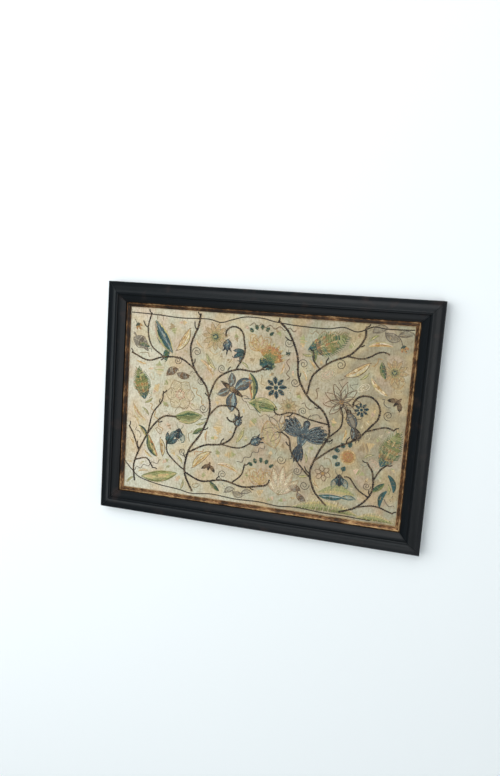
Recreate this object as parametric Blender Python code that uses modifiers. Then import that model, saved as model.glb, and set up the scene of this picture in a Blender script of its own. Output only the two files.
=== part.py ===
"""A crewel-embroidered linen panel in an ebonised, moulded wood frame with a gilt slip.

The panel lies on its back: X runs across it, Y up it and Z out of its face, and the origin is under its middle.
"""
import math
from collections import namedtuple

import bmesh
import bpy
from mathutils import Vector

MM = 0.001

# The frame's outer size, and the gap that touching pieces keep
FRAME_WIDTH = 430 * MM
FRAME_HEIGHT = 310 * MM
GAP = 0.3 * MM

# The black moulding's section: across from its outer edge, and up from its back
MOULDING_WIDTH = 26 * MM
EDGE_ROUND = 1.5 * MM
SHOULDER_RISE = 14 * MM
SHOULDER_WIDTH = 4.2 * MM
COVE_SAG = 1.2 * MM
RIDGE_ACROSS = 15 * MM
RIDGE_RISE = 20.6 * MM
RIDGE_ROUND = 2.4 * MM
RIDGE_ARC = (125, 40)
QUIRK_ACROSS = 17.3 * MM
QUIRK_RISE = 18.2 * MM
QUIRK_FLOOR = 0.5 * MM
OVOLO_RISE = 18.8 * MM
OVOLO_BULGE = 0.8 * MM
SIGHT_ROUND = 0.9 * MM
SIGHT_ARC = (60, 0)
SIGHT_RISE = 12.6 * MM
REBATE_ACROSS = 19.6 * MM
REBATE_RISE = 11.2 * MM

# The gilt slip, which lies in the rebate behind the moulding's lip
SLIP_OUTER = REBATE_ACROSS + GAP
SLIP_INNER = 31.8 * MM
SLIP_BACK = 8.2 * MM
SLIP_TOP = REBATE_RISE - GAP
SLIP_BEAD = 0.7 * MM
SLIP_SAG = 0.25 * MM
SLIP_NOSE_RISE = 9.2 * MM
SLIP_NOSE_BEVEL = (0.6 * MM, 0.2 * MM)

# The linen, held behind the slip, with the low swells that the stitching draws it into
CLOTH_MARGIN = 21.5 * MM
CLOTH_THICKNESS = 1.4 * MM
CLOTH_TOP = SLIP_BACK - GAP
CLOTH_STEPS = (21, 14)
SWELL = 0.35 * MM
SWELL_LENGTHS = (86 * MM, 64 * MM)
SWELL_SHIFT = 0.8

# The worked yarn: stems stand up as cords, and filled motifs as low pads
STEM_RISE = 0.25 * MM
STEM_STEP = 7.5 * MM
CURVE_SAMPLES = 16
PAD_RISE = 0.6 * MM
PAD_LAYER = 0.15
PAD_DEPTH = 0.6 * MM
LEAF_POINTS = 8
PETAL_POINTS = 4
DISC_POINTS = 10
FAN_NOTCH = 0.78
COLLAR_RADIUS = 0.4

# A stem: its yarn's breadth and the points that it passes, in mm from the cloth's middle. A curled tip turns on
# by so many degrees, from the first radius to the second.
Stem = namedtuple("Stem", "name breadth points curl")
STEMS = [Stem(*row) for row in (
    ("west_trunk", 3.1, [(-84, -117), (-96, -92), (-92, -62), (-76, -36), (-66, -6), (-72, 24), (-90, 48),
                         (-97, 76), (-88, 104), (-86, 118)], None),
    ("west_limb", 2.6, [(-90, 48), (-110, 60), (-134, 60), (-156, 54), (-178, 62)], None),
    ("west_limb_up", 2.3, [(-134, 60), (-152, 74), (-158, 96), (-154, 116)], None),
    ("west_bough", 2.8, [(-69, 10), (-58, 38), (-34, 52), (-8, 52), (6, 60)], None),
    ("west_bough_up", 2.6, [(-34, 52), (-24, 74), (-26, 94)], (190, 16, 7)),
    ("west_hook", 2.6, [(-67, -12), (-54, 2), (-38, 4)], (-235, 12, 7)),
    ("west_low", 2.8, [(-96, -92), (-72, -101), (-42, -96), (-14, -101), (12, -96)], (70, 12, 8)),
    ("west_low_twig", 2.3, [(-30, -98), (-18, -86), (-14, -72)], None),
    ("west_arm", 2.8, [(-92, -64), (-70, -52), (-48, -48), (-34, -38), (-28, -22)], None),
    ("west_arm_tip", 2.3, [(-48, -48), (-24, -50), (-8, -42)], None),
    ("west_twig", 2.3, [(-96, -90), (-110, -80), (-122, -68), (-124, -54)], None),
    ("corner_trunk", 2.8, [(-168, -114), (-170, -90), (-160, -62), (-146, -36), (-130, -20), (-112, -18)],
     None),
    ("corner_arm", 2.3, [(-169, -84), (-152, -80), (-142, -92)], None),
    ("corner_rise", 2.3, [(-152, -46), (-146, -18), (-134, 0), (-132, 12)], None),
    ("corner_side", 2.3, [(-164, -70), (-172, -50), (-179, -38)], None),
    ("east_trunk", 3.1, [(96, -110), (80, -94), (72, -70), (80, -44), (92, -18), (84, 8), (62, 26), (48, 50),
                         (44, 78), (32, 104), (18, 118)], None),
    ("east_limb", 2.8, [(76, -54), (98, -36), (126, -20), (146, 2)], (215, 22, 13)),
    ("east_limb_tip", 2.3, [(138, -9), (158, -2), (170, -4)], None),
    ("east_bough", 2.8, [(60, 29), (66, 54), (86, 72), (110, 84), (124, 102), (126, 118)], None),
    ("east_bough_arm", 2.3, [(106, 81), (126, 80), (142, 88)], (-60, 16, 10)),
    ("east_bough_twig", 2.3, [(74, 62), (66, 72), (64, 84)], None),
    ("east_hand", 2.3, [(90, -6), (66, -2), (44, 4), (28, 0)], (-150, 7, 4)),
    ("east_reach", 2.6, [(72, -76), (58, -62), (46, -46), (42, -30), (32, -22)], None),
    ("east_spur", 2.3, [(92, -22), (105, -8), (107, 6), (104, 16)], None),
    ("far_trunk", 2.8, [(112, -116), (134, -106), (150, -86), (150, -62), (142, -48)], None),
    ("far_arm", 2.3, [(134, -106), (156, -102), (178, -108)], None),
    ("far_spur", 2.3, [(148, -92), (134, -84), (124, -72)], (60, 8, 6)),
    ("far_tip", 2.3, [(151, -70), (158, -56), (166, -48)], None),
)]

# A motif: its kind, its middle or base, its size, and the way that it points in degrees
Motif = namedtuple("Motif", "kind x y size turn")
MOTIFS = [Motif(*row) for row in (
    ("wing", -148, 108, 50, -58),
    ("daisy", -64, 92, 36, 10),
    ("snail", -178, 82, 26, -24),
    ("caterpillar", -128, 36, 32, 12),
    ("carnation", 4, 58, 36, 66),
    ("tulip", -47, 90, 20, -92),
    ("beads", -4, 96, 34, 84),
    ("star", 20, 34, 30, 8),
    ("cone", 56, 84, 54, 24),
    ("daisy", 164, 66, 32, 30),
    ("star", 129, 17, 20, 12),
    ("cone", 158, -52, 50, 68),
    ("cone", -158, 0, 44, 106),
    ("leaf", -114, -18, 40, 8),
    ("rose", -108, 12, 40, 0),
    ("beetle", -108, -42, 32, 80),
    ("pod", -158, -106, 52, 12),
    ("sickle", -136, -76, 46, 116),
    ("moth", -62, -78, 20, 80),
    ("sickle", -16, 50, 50, -80),
    ("bird", 58, -30, 50, 76),
    ("leaf", 24, 6, 40, 172),
    ("butterfly", -40, 28, 36, -30),
    ("daisy", 38, 12, 22, 40),
    ("beads", 8, -76, 36, 92),
    ("marigold", 118, -44, 30, 20),
    ("beetle", 110, -76, 32, 96),
    ("fish", 86, -98, 48, 2),
    ("ribbon", 168, -60, 42, -86),
    ("perched", 122, -6, 34, 118),
    ("lily", 34, -104, 38, 84),
    ("tulip", -8, -42, 21, 30),
    ("tulip", -28, -22, 20, 84),
    ("feathers", 104, 24, 40, 80),
    ("twig_leaf", 148, 78, 24, -74),
    ("twig_leaf", 66, 70, 20, 96),
    ("twig_leaf", -154, 72, 18, 170),
    ("twig_leaf", -60, -100, 20, -40),
    ("twig_leaf", 150, -84, 22, 40),
    ("twig_leaf", -72, -30, 20, -150),
    ("moth", 172, 32, 22, 50),
    ("caterpillar", 46, -94, 28, -24),
    ("bell", -122, -56, 18, 60),
    ("bell", -24, 76, 17, -150),
    ("mound", 94, -118, 86, 0),
    ("mound", 156, -121, 50, 0),
)]

# A motif's filled parts, in parts of its size: where each starts, its length and breadth, the way it points
# from the motif's own, how many degrees it bends or spreads, and how many petals or leaves it has
Fill = namedtuple("Fill", "kind shape x y length breadth turn bend petals")
FILLS = [Fill(*row) for row in (
    ("wing", "leaf", 0.0, 0.0, 1.0, 0.34, 0, 14, 0),
    ("wing", "leaf", 0.84, 0.0, 0.36, 0.15, -46, 70, 0),
    ("daisy", "rosette", 0.0, 0.0, 1.0, 0.5, 0, 0, 11),
    ("daisy", "disc", 0.0, 0.0, 0.4, 0.4, 0, 0, 0),
    ("snail", "leaf", 0.0, 0.0, 0.84, 0.62, 0, 0, 0),
    ("snail", "leaf", 0.66, -0.04, 0.42, 0.2, -24, 30, 0),
    ("snail", "leaf", 0.1, 0.14, 0.3, 0.14, 150, 0, 0),
    ("caterpillar", "leaf", 0.0, 0.0, 0.56, 0.3, 20, -50, 0),
    ("caterpillar", "leaf", 0.46, 0.04, 0.56, 0.26, -18, 50, 0),
    ("carnation", "fan", 0.26, 0.0, 0.72, 0.18, 0, 112, 8),
    ("carnation", "fan", 0.0, 0.0, 0.46, 0.24, 0, 104, 6),
    ("cone", "leaf", 0.0, 0.0, 1.0, 0.46, 0, 10, 0),
    ("star", "rosette", 0.0, 0.0, 1.0, 0.5, 0, 0, 8),
    ("star", "disc", 0.0, 0.0, 0.2, 0.2, 0, 0, 0),
    ("sickle", "leaf", 0.0, 0.0, 0.7, 0.24, 0, -52, 0),
    ("sickle", "leaf", 0.6, 0.1, 0.48, 0.14, 12, 62, 0),
    ("leaf", "leaf", 0.0, 0.0, 0.95, 0.42, 0, 24, 0),
    ("rose", "disc", 0.0, 0.0, 0.34, 0.34, 0, 0, 0),
    ("pod", "leaf", 0.0, 0.0, 1.0, 0.28, 0, 20, 0),
    ("beetle", "leaf", -0.2, 0.0, 0.46, 0.34, 0, 0, 0),
    ("bird", "fan", 0.1, 0.04, 0.62, 0.15, 62, 46, 5),
    ("bird", "fan", 0.1, -0.04, 0.62, 0.15, -62, 46, 5),
    ("bird", "fan", -0.1, 0.0, 0.52, 0.1, 184, 34, 4),
    ("bird", "leaf", -0.2, 0.0, 0.66, 0.26, 0, 0, 0),
    ("bird", "disc", 0.44, 0.0, 0.2, 0.18, 0, 0, 0),
    ("perched", "fan", 0.0, 0.0, 0.56, 0.14, 170, 36, 4),
    ("perched", "leaf", -0.06, 0.0, 0.66, 0.34, 0, 20, 0),
    ("perched", "leaf", 0.04, 0.06, 0.44, 0.16, 160, -24, 0),
    ("perched", "disc", 0.6, -0.04, 0.22, 0.2, 0, 0, 0),
    ("butterfly", "leaf", 0.2, 0.06, 0.7, 0.4, 62, -30, 0),
    ("butterfly", "leaf", 0.2, -0.06, 0.7, 0.4, -62, 30, 0),
    ("butterfly", "leaf", 0.0, 0.04, 0.5, 0.26, 120, 30, 0),
    ("butterfly", "leaf", 0.0, -0.04, 0.5, 0.26, -120, -30, 0),
    ("butterfly", "leaf", -0.4, 0.0, 0.96, 0.2, 0, 0, 0),
    ("marigold", "disc", 0.0, 0.0, 0.66, 0.66, 0, 0, 0),
    ("marigold", "collar", 0.0, 0.0, 0.28, 0.2, 150, 170, 6),
    ("fish", "hill", 0.45, 0.08, 1.0, 0.24, 0, 0, 0),
    ("fish", "leaf", 0.0, 0.0, 0.62, 0.14, 0, 20, 0),
    ("ribbon", "leaf", 0.0, 0.0, 0.56, 0.16, 18, -70, 0),
    ("ribbon", "leaf", 0.48, 0.0, 0.56, 0.16, -22, 70, 0),
    ("lily", "fan", 0.0, 0.0, 1.0, 0.26, 0, 84, 5),
    ("lily", "fan", 0.0, 0.0, 0.44, 0.16, 0, 60, 3),
    ("tulip", "leaf", 0.0, 0.0, 0.72, 0.56, 0, 0, 0),
    ("tulip", "fan", 0.42, 0.0, 0.6, 0.14, 0, 76, 3),
    ("bell", "fan", 0.0, 0.0, 1.0, 0.3, 0, 64, 3),
    ("beads", "collar", -0.12, 0.0, 0.22, 0.15, 0, 100, 5),
    ("feathers", "disc", 0.0, 0.0, 0.14, 0.14, 0, 0, 0),
    ("twig_leaf", "leaf", 0.0, 0.0, 0.9, 0.34, 0, 20, 0),
    ("moth", "leaf", 0.0, 0.0, 0.62, 0.3, 130, 20, 0),
    ("moth", "leaf", 0.0, 0.0, 0.62, 0.3, -130, -20, 0),
    ("moth", "leaf", -0.4, 0.0, 0.66, 0.22, 0, 0, 0),
    ("mound", "hill", 0.0, 0.0, 1.0, 0.2, 0, 0, 0),
)]

COLOURS = {
    "ebonised_wood": ((0.012, 0.013, 0.014), 0.35, 0.0),
    "gilding": ((0.30, 0.17, 0.06), 0.35, 0.8),
    "linen": ((0.62, 0.52, 0.38), 0.95, 0.0),
}


def clear_scene():
    for thing in list(bpy.data.objects):
        bpy.data.objects.remove(thing, do_unlink=True)


def new_collection(name):
    group = bpy.data.collections.new(name)
    bpy.context.scene.collection.children.link(group)
    return group


def material(name):
    colour, roughness, metallic = COLOURS[name]
    made = bpy.data.materials.get(name) or bpy.data.materials.new(name)
    made.use_nodes = True
    shader = made.node_tree.nodes["Principled BSDF"]
    shader.inputs["Base Color"].default_value = (*colour, 1)
    shader.inputs["Roughness"].default_value = roughness
    shader.inputs["Metallic"].default_value = metallic
    return made


def add_object(name, mesh, group, material_name):
    thing = bpy.data.objects.new(name, mesh)
    group.objects.link(thing)
    mesh.materials.append(material(material_name))
    return thing


def mesh_from(bm, name):
    bmesh.ops.recalc_face_normals(bm, faces=bm.faces)
    mesh = bpy.data.meshes.new(name)
    bm.to_mesh(mesh)
    bm.free()
    return mesh


def arc(centre, radius, start, end, steps):
    """Points on a round stretch of a section, by its start and end angles in degrees."""
    angles = [math.radians(start + (end - start) * k / steps) for k in range(steps + 1)]
    return [(centre[0] + radius * math.cos(a), centre[1] + radius * math.sin(a)) for a in angles]


def hollow(start, end, depth, steps):
    """Points between two ends, sagging below the straight line at the middle, or above it if negative."""
    points = []
    for k in range(1, steps):
        t = k / steps
        sag = depth * 4 * t * (1 - t)
        points.append((start[0] + (end[0] - start[0]) * t, start[1] + (end[1] - start[1]) * t - sag))
    return points


def moulding_section():
    """Shoulder, cove, round ridge, quirk and an ovolo down to the sight edge, with the rebate behind."""
    shoulder_end = (SHOULDER_WIDTH, SHOULDER_RISE)
    ridge = arc((RIDGE_ACROSS, RIDGE_RISE - RIDGE_ROUND), RIDGE_ROUND, *RIDGE_ARC, 5)
    ovolo_start = (QUIRK_ACROSS + QUIRK_FLOOR, OVOLO_RISE)
    sight = arc((MOULDING_WIDTH - SIGHT_ROUND, SIGHT_RISE), SIGHT_ROUND, *SIGHT_ARC, 3)
    return (
        [(0, 0)]
        + arc((EDGE_ROUND, SHOULDER_RISE - EDGE_ROUND), EDGE_ROUND, 180, 90, 3)
        + [shoulder_end]
        + hollow(shoulder_end, ridge[0], COVE_SAG, 4)
        + ridge
        + [(QUIRK_ACROSS, QUIRK_RISE), (QUIRK_ACROSS + QUIRK_FLOOR, QUIRK_RISE), ovolo_start]
        + hollow(ovolo_start, sight[0], -OVOLO_BULGE, 5)
        + sight
        + [(MOULDING_WIDTH, REBATE_RISE), (REBATE_ACROSS, REBATE_RISE), (REBATE_ACROSS, 0)]
    )


def slip_section():
    """A bead beside the moulding, then a hollow slope down to a thin nose over the linen."""
    bead_at = MOULDING_WIDTH + 2 * SLIP_BEAD
    slope_start = (bead_at + SLIP_BEAD, SLIP_TOP - SLIP_BEAD / 2)
    nose = (SLIP_INNER - SLIP_NOSE_BEVEL[0], SLIP_NOSE_RISE + SLIP_NOSE_BEVEL[1])
    return (
        [(SLIP_OUTER, SLIP_BACK), (SLIP_OUTER, SLIP_TOP), (MOULDING_WIDTH, SLIP_TOP)]
        + arc((bead_at, SLIP_TOP), SLIP_BEAD, 180, 0, 5)
        + [slope_start]
        + hollow(slope_start, nose, SLIP_SAG, 3)
        + [nose, (SLIP_INNER, SLIP_NOSE_RISE), (SLIP_INNER, SLIP_BACK)]
    )


def mitred_length(name, section, outer_length):
    """A length of a section along X, its outer edge at Y = 0, with both ends cut back at 45 degrees."""
    bm = bmesh.new()
    start = -outer_length / 2
    verts = [bm.verts.new((start, across, up)) for across, up in section]
    face = bm.faces.new(verts)
    swept = bmesh.ops.extrude_face_region(bm, geom=[face])["geom"]
    moved = [part for part in swept if isinstance(part, bmesh.types.BMVert)]
    bmesh.ops.translate(bm, verts=moved, vec=(outer_length, 0, 0))
    bmesh.ops.recalc_face_normals(bm, faces=bm.faces)
    for side in (-1, 1):
        whole = bm.verts[:] + bm.edges[:] + bm.faces[:]
        corner = Vector((side * (outer_length / 2 - GAP * math.sqrt(0.5)), 0, 0))
        outward = Vector((side, 1, 0))
        cut = bmesh.ops.bisect_plane(bm, geom=whole, plane_co=corner, plane_no=outward, clear_outer=True)
        rim = [part for part in cut["geom_cut"] if isinstance(part, bmesh.types.BMEdge)]
        bmesh.ops.contextual_create(bm, geom=rim)
    return mesh_from(bm, name)


def build_frame(group):
    """Four mitred lengths of moulding, and inside them four of the slip."""
    sides = (
        ("bottom", FRAME_WIDTH, (0, -FRAME_HEIGHT / 2), 0),
        ("right", FRAME_HEIGHT, (FRAME_WIDTH / 2, 0), 90),
        ("top", FRAME_WIDTH, (0, FRAME_HEIGHT / 2), 180),
        ("left", FRAME_HEIGHT, (-FRAME_WIDTH / 2, 0), 270),
    )
    sections = (
        ("moulding", moulding_section(), "ebonised_wood"),
        ("slip", slip_section(), "gilding"),
    )
    for kind, section, material_name in sections:
        for side, length, (x, y), turn in sides:
            name = f"{kind}_{side}"
            rail = add_object(name, mitred_length(name, section, length), group, material_name)
            rail.location = (x, y, 0)
            rail.rotation_euler = (0, 0, math.radians(turn))


def swell(x, y):
    """How far the linen's face stands above its flat edge at a point, fading out towards the slip."""
    half_x = FRAME_WIDTH / 2 - SLIP_INNER
    half_y = FRAME_HEIGHT / 2 - SLIP_INNER
    inside = max(0.0, 1 - (x / half_x) ** 2) * max(0.0, 1 - (y / half_y) ** 2)
    long_x, long_y = SWELL_LENGTHS
    wave = math.sin(math.tau * x / long_x + SWELL_SHIFT) * math.cos(math.tau * y / long_y)
    return SWELL * math.sqrt(inside) * wave


def route_of(stem):
    """The stem's points, evenly apart along a smooth curve, with the curl at its tip."""
    given = [Vector(p) * MM for p in stem.points]
    ends = [given[0] * 2 - given[1]] + given + [given[-1] * 2 - given[-2]]
    fine = []
    for a, b, c, d in zip(ends, ends[1:], ends[2:], ends[3:]):
        for k in range(CURVE_SAMPLES):
            t = k / CURVE_SAMPLES
            fine.append(0.5 * (2 * b + (c - a) * t + (2 * a - 5 * b + 4 * c - d) * t ** 2
                               + (3 * b - a - 3 * c + d) * t ** 3))
    fine.append(given[-1])
    points = [fine[0]]
    for p in fine[1:]:
        if (p - points[-1]).length >= STEM_STEP:
            points.append(p)
    if (points[-1] - fine[-1]).length > STEM_STEP / 3:
        points.append(fine[-1])
    if stem.curl:
        points += curl_of(points[-1], fine[-1] - fine[-2], *stem.curl)
    return points


def curl_of(start, direction, angle, first_radius, last_radius):
    """A tip's turn: an arc that tightens from one radius to another."""
    here, heading = start.copy(), math.atan2(direction.y, direction.x)
    side, total, turned, points = math.copysign(1, angle), math.radians(abs(angle)), 0.0, []
    while turned < total:
        radius = (first_radius + (last_radius - first_radius) * turned / total) * MM
        step = min(STEM_STEP, 0.5 * radius)
        heading += side * step / radius / 2
        here = here + step * Vector((math.cos(heading), math.sin(heading)))
        heading += side * step / radius / 2
        turned += step / radius
        points.append(here)
    return points


def add_stem(stem, group):
    """A stem as a half-sunk cord: a bevelled curve made a closed mesh."""
    curve = bpy.data.curves.new(stem.name, "CURVE")
    curve.dimensions = "3D"
    curve.bevel_depth = stem.breadth * MM / 2
    curve.bevel_resolution = 1
    curve.use_fill_caps = True
    route = route_of(stem)
    spline = curve.splines.new("POLY")
    spline.points.add(len(route) - 1)
    for point, place in zip(spline.points, route):
        point.co = (place.x, place.y, CLOTH_TOP + swell(place.x, place.y) + STEM_RISE, 1)
    drawn = bpy.data.objects.new(stem.name, curve)
    bpy.context.scene.collection.objects.link(drawn)
    bpy.context.view_layer.update()
    mesh = bpy.data.meshes.new_from_object(drawn.evaluated_get(bpy.context.evaluated_depsgraph_get()))
    bpy.data.objects.remove(drawn, do_unlink=True)
    bm = bmesh.new()
    bm.from_mesh(mesh)
    bmesh.ops.remove_doubles(bm, verts=bm.verts, dist=0.01 * MM)
    bpy.data.meshes.remove(mesh)
    hide_guide(add_object(stem.name, mesh_from(bm, stem.name), group, "linen"))


def hide_guide(thing):
    thing.hide_render = True
    thing.display_type = "WIRE"


def leaf_outline(length, breadth, bend):
    """A pointed oval from its base at the origin, along a spine that bends by so many degrees."""
    half = LEAF_POINTS // 2
    left, right = [], []
    for k in range(half + 1):
        t = k / half
        angle = math.radians(bend) * (t - 0.5)
        spine = Vector((length * t, -length * math.radians(bend) / 2 * t * (1 - t)))
        across = Vector((-math.sin(angle), math.cos(angle))) * breadth / 2 * math.sin(math.pi * t) ** 0.8
        left.append(spine + across)
        right.append(spine - across)
    return left + right[-2:0:-1]


def round_outline(points, radius_at):
    """A closed outline about the origin, by its radius at each angle."""
    angles = [2 * math.pi * k / points for k in range(points)]
    return [Vector((math.cos(a), math.sin(a))) * radius_at(a) for a in angles]


def fan_outline(length, spread, petals):
    """Petals' tips on an arc about the base, with a notch between each two."""
    points = [Vector((0, 0))]
    steps = 2 * petals - 2
    for k in range(steps + 1):
        share = k / steps - 0.5
        reach = length * (1 - 0.3 * abs(share)) * (FAN_NOTCH if k % 2 else 1)
        angle = math.radians(spread) * share
        points.append(Vector((math.cos(angle), math.sin(angle))) * reach)
    return points


def fill_outline(fill, size):
    length, breadth = fill.length * size, fill.breadth * size
    if fill.shape == "leaf":
        return leaf_outline(length, breadth, fill.bend)
    if fill.shape == "fan":
        return fan_outline(length, fill.bend, fill.petals)
    if fill.shape == "rosette":
        mean, swing = (length + breadth) / 4, (length - breadth) / 4
        return round_outline(fill.petals * PETAL_POINTS, lambda a: mean + swing * math.cos(fill.petals * a))
    if fill.shape == "hill":
        half = LEAF_POINTS
        shares = [k / half for k in range(half + 1)]
        return [Vector((length * (t - 0.5), breadth * math.sin(math.pi * t))) for t in shares]
    return [Vector((p.x * length / 2, p.y * breadth / 2)) for p in round_outline(DISC_POINTS, lambda a: 1.0)]


def leaves_of(fill):
    """A collar's separate leaves, which point out from the flower; any other fill is one shape."""
    if fill.shape != "collar":
        return [fill]
    leaves = []
    for k in range(fill.petals):
        turn = fill.turn + fill.bend * (k / (fill.petals - 1) - 0.5)
        x = fill.x + COLLAR_RADIUS * math.cos(math.radians(turn))
        y = fill.y + COLLAR_RADIUS * math.sin(math.radians(turn))
        leaves.append(fill._replace(shape="leaf", x=x, y=y, turn=turn, bend=0))
    return leaves


def add_pad(name, motif, fill, layer, group):
    """A filled part of a motif as a low pad, sunk a little into the linen; a later layer stands higher."""
    size = motif.size * MM
    turn, own_turn = math.radians(motif.turn), math.radians(fill.turn)
    base = Vector((motif.x, motif.y)) * MM
    start = Vector((fill.x, fill.y)) * size
    bm = bmesh.new()
    verts = []
    for p in fill_outline(fill, size):
        turned = Vector((p.x * math.cos(own_turn) - p.y * math.sin(own_turn),
                         p.x * math.sin(own_turn) + p.y * math.cos(own_turn))) + start
        place = base + Vector((turned.x * math.cos(turn) - turned.y * math.sin(turn),
                               turned.x * math.sin(turn) + turned.y * math.cos(turn)))
        verts.append(bm.verts.new((place.x, place.y, CLOTH_TOP + swell(place.x, place.y) - PAD_DEPTH)))
    swept = bmesh.ops.extrude_face_region(bm, geom=[bm.faces.new(verts)])["geom"]
    top = [part for part in swept if isinstance(part, bmesh.types.BMVert)]
    bmesh.ops.translate(bm, verts=top, vec=(0, 0, PAD_DEPTH + PAD_RISE * (1 + PAD_LAYER * layer)))
    hide_guide(add_object(name, mesh_from(bm, name), group, "linen"))


def build_cloth(group, raised):
    """The linen sheet, with the worked yarn joined to its face."""
    bm = bmesh.new()
    columns, rows = CLOTH_STEPS
    bmesh.ops.create_grid(bm, x_segments=columns, y_segments=rows, size=1)
    half_x, half_y = FRAME_WIDTH / 2 - CLOTH_MARGIN, FRAME_HEIGHT / 2 - CLOTH_MARGIN
    for vert in bm.verts:
        x, y = vert.co.x * half_x, vert.co.y * half_y
        vert.co = (x, y, CLOTH_TOP + swell(x, y))
    cloth = add_object("embroidered_linen", mesh_from(bm, "embroidered_linen"), group, "linen")
    body = cloth.modifiers.new("thickness", "SOLIDIFY")
    body.thickness = CLOTH_THICKNESS
    body.offset = -1
    joined = cloth.modifiers.new("worked_yarn", "BOOLEAN")
    joined.operation = "UNION"
    joined.operand_type = "COLLECTION"
    joined.collection = raised
    joined.solver = "EXACT"
    return cloth


def build():
    clear_scene()
    group = new_collection("crewel_embroidery_panel")
    raised = new_collection("raised_yarn")
    build_frame(group)
    for stem in STEMS:
        add_stem(stem, raised)
    for number, motif in enumerate(MOTIFS):
        for layer, fill in enumerate(f for f in FILLS if f.kind == motif.kind):
            for leaf, pad in enumerate(leaves_of(fill)):
                add_pad(f"{motif.kind}_{number}_{layer}_{leaf}", motif, pad, layer, raised)
    build_cloth(group, raised)


build()
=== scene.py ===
"""The looks of a crewel-embroidered linen panel in an ebonised, moulded frame with a tarnished gilt slip.

The panel lies on its back: X runs across it, Y up it and Z out of its face. Sizes are in mm, times MM.
"""
import math
from collections import namedtuple

import bmesh
import bpy
import numpy as np
from mathutils import Matrix, Vector


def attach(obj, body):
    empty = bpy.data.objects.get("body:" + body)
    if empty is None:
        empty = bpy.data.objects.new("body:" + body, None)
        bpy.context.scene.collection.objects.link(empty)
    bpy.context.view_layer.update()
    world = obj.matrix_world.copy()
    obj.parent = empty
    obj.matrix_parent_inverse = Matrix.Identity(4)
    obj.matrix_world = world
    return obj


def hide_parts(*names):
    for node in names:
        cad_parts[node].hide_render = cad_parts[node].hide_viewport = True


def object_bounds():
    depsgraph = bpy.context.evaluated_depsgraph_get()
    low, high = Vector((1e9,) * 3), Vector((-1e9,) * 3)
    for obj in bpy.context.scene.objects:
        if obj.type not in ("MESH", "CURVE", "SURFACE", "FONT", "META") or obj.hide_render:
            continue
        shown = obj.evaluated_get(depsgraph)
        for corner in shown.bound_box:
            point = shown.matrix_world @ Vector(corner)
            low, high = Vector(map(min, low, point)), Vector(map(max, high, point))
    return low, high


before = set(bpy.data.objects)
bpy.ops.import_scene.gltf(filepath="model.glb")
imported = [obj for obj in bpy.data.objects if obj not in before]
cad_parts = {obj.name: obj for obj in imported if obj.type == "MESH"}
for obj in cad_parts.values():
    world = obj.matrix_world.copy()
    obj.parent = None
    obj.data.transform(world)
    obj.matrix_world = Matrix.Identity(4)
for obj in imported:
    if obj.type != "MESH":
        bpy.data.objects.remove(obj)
cad_low, cad_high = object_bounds()

MM = 0.001
GAP = 0.3


def linear(code):
    """A colour written as #rrggbb, as the linear values that shaders take."""
    parts = [int(code[k:k + 2], 16) / 255 for k in (1, 3, 5)]
    return tuple(c / 12.92 if c <= 0.04045 else ((c + 0.055) / 1.055) ** 2.4 for c in parts) + (1.0,)


def feed(tree, made, inputs):
    """Sets a node's inputs, each to a value or to the socket that feeds it."""
    for name, value in inputs.items():
        if isinstance(value, bpy.types.NodeSocket):
            tree.links.new(value, made.inputs[name])
        else:
            made.inputs[name].default_value = value


def node(tree, kind, settings=None, inputs=None):
    """A shader node with its settings and inputs."""
    made = tree.nodes.new("ShaderNode" + kind)
    for name, value in (settings or {}).items():
        setattr(made, name, value)
    feed(tree, made, inputs or {})
    return made


def blank_material(name):
    """A material with its node tree and its one shader."""
    made = bpy.data.materials.new(name)
    made.use_nodes = True
    return made, made.node_tree, made.node_tree.nodes["Principled BSDF"]


def ramp(tree, factor, *stops):
    """A colour ramp on a factor, from (place, #colour) stops."""
    made = node(tree, "ValToRGB", inputs={"Fac": factor})
    elements = made.color_ramp.elements
    while len(elements) < len(stops):
        elements.new(0.5)
    for element, (place, code) in zip(elements, stops):
        element.position = place
        element.color = linear(code)
    return made.outputs["Color"]


def between(tree, factor, low, high, start=0, end=1):
    """A factor mapped from one range to another."""
    return node(tree, "MapRange", inputs={"Value": factor, "From Min": start, "From Max": end, "To Min": low,
                                          "To Max": high}).outputs["Result"]


def noise(tree, place, scale, detail, roughness=0.5):
    """A noise's outputs, Fac and Color."""
    return node(tree, "TexNoise", inputs={"Vector": place, "Scale": scale, "Detail": detail,
                                          "Roughness": roughness}).outputs


def mixed(tree, factor, base, over, blend_type="MIX"):
    return node(tree, "Mix", {"data_type": "RGBA", "blend_type": blend_type},
                {"Factor": factor, 6: base, 7: over}).outputs[2]


def bump(tree, height, strength, distance):
    return node(tree, "Bump", inputs={"Strength": strength, "Distance": distance,
                                      "Height": height}).outputs["Normal"]


def finish_piece(name, mesh, material):
    """Puts a finished mesh in the scene as a piece that rides on the panel."""
    piece = bpy.data.objects.new(name, mesh)
    bpy.context.scene.collection.objects.link(piece)
    mesh.materials.append(material)
    mesh.shade_smooth()
    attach(piece, "root")
    return piece


# The frame's moulding: wood run to a section with a shoulder, a cove, a round ridge, a quirk and an ovolo
# down to the sight edge, mitred at the corners. Stained black, waxed, and rubbed brown in scattered patches.
FRAME_WIDTH = (cad_high.x - cad_low.x) / MM
FRAME_HEIGHT = (cad_high.y - cad_low.y) / MM
MOULDING_WIDTH = 26
EDGE_ROUND = 1.5
SHOULDER_RISE = 14
SHOULDER_WIDTH = 4.2
COVE_SAG = 1.2
RIDGE_ACROSS = 15
RIDGE_RISE = 20.6
RIDGE_ROUND = 2.4
RIDGE_ARC = (125, 40)
QUIRK_ACROSS = 17.3
QUIRK_RISE = 18.2
QUIRK_FLOOR = 0.5
OVOLO_RISE = 18.8
OVOLO_BULGE = 0.8
SIGHT_ROUND = 0.9
SIGHT_ARC = (60, 0)
SIGHT_RISE = 12.6
REBATE_ACROSS = 19.6
REBATE_RISE = 11.2
RUN_STEPS = 24
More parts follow.
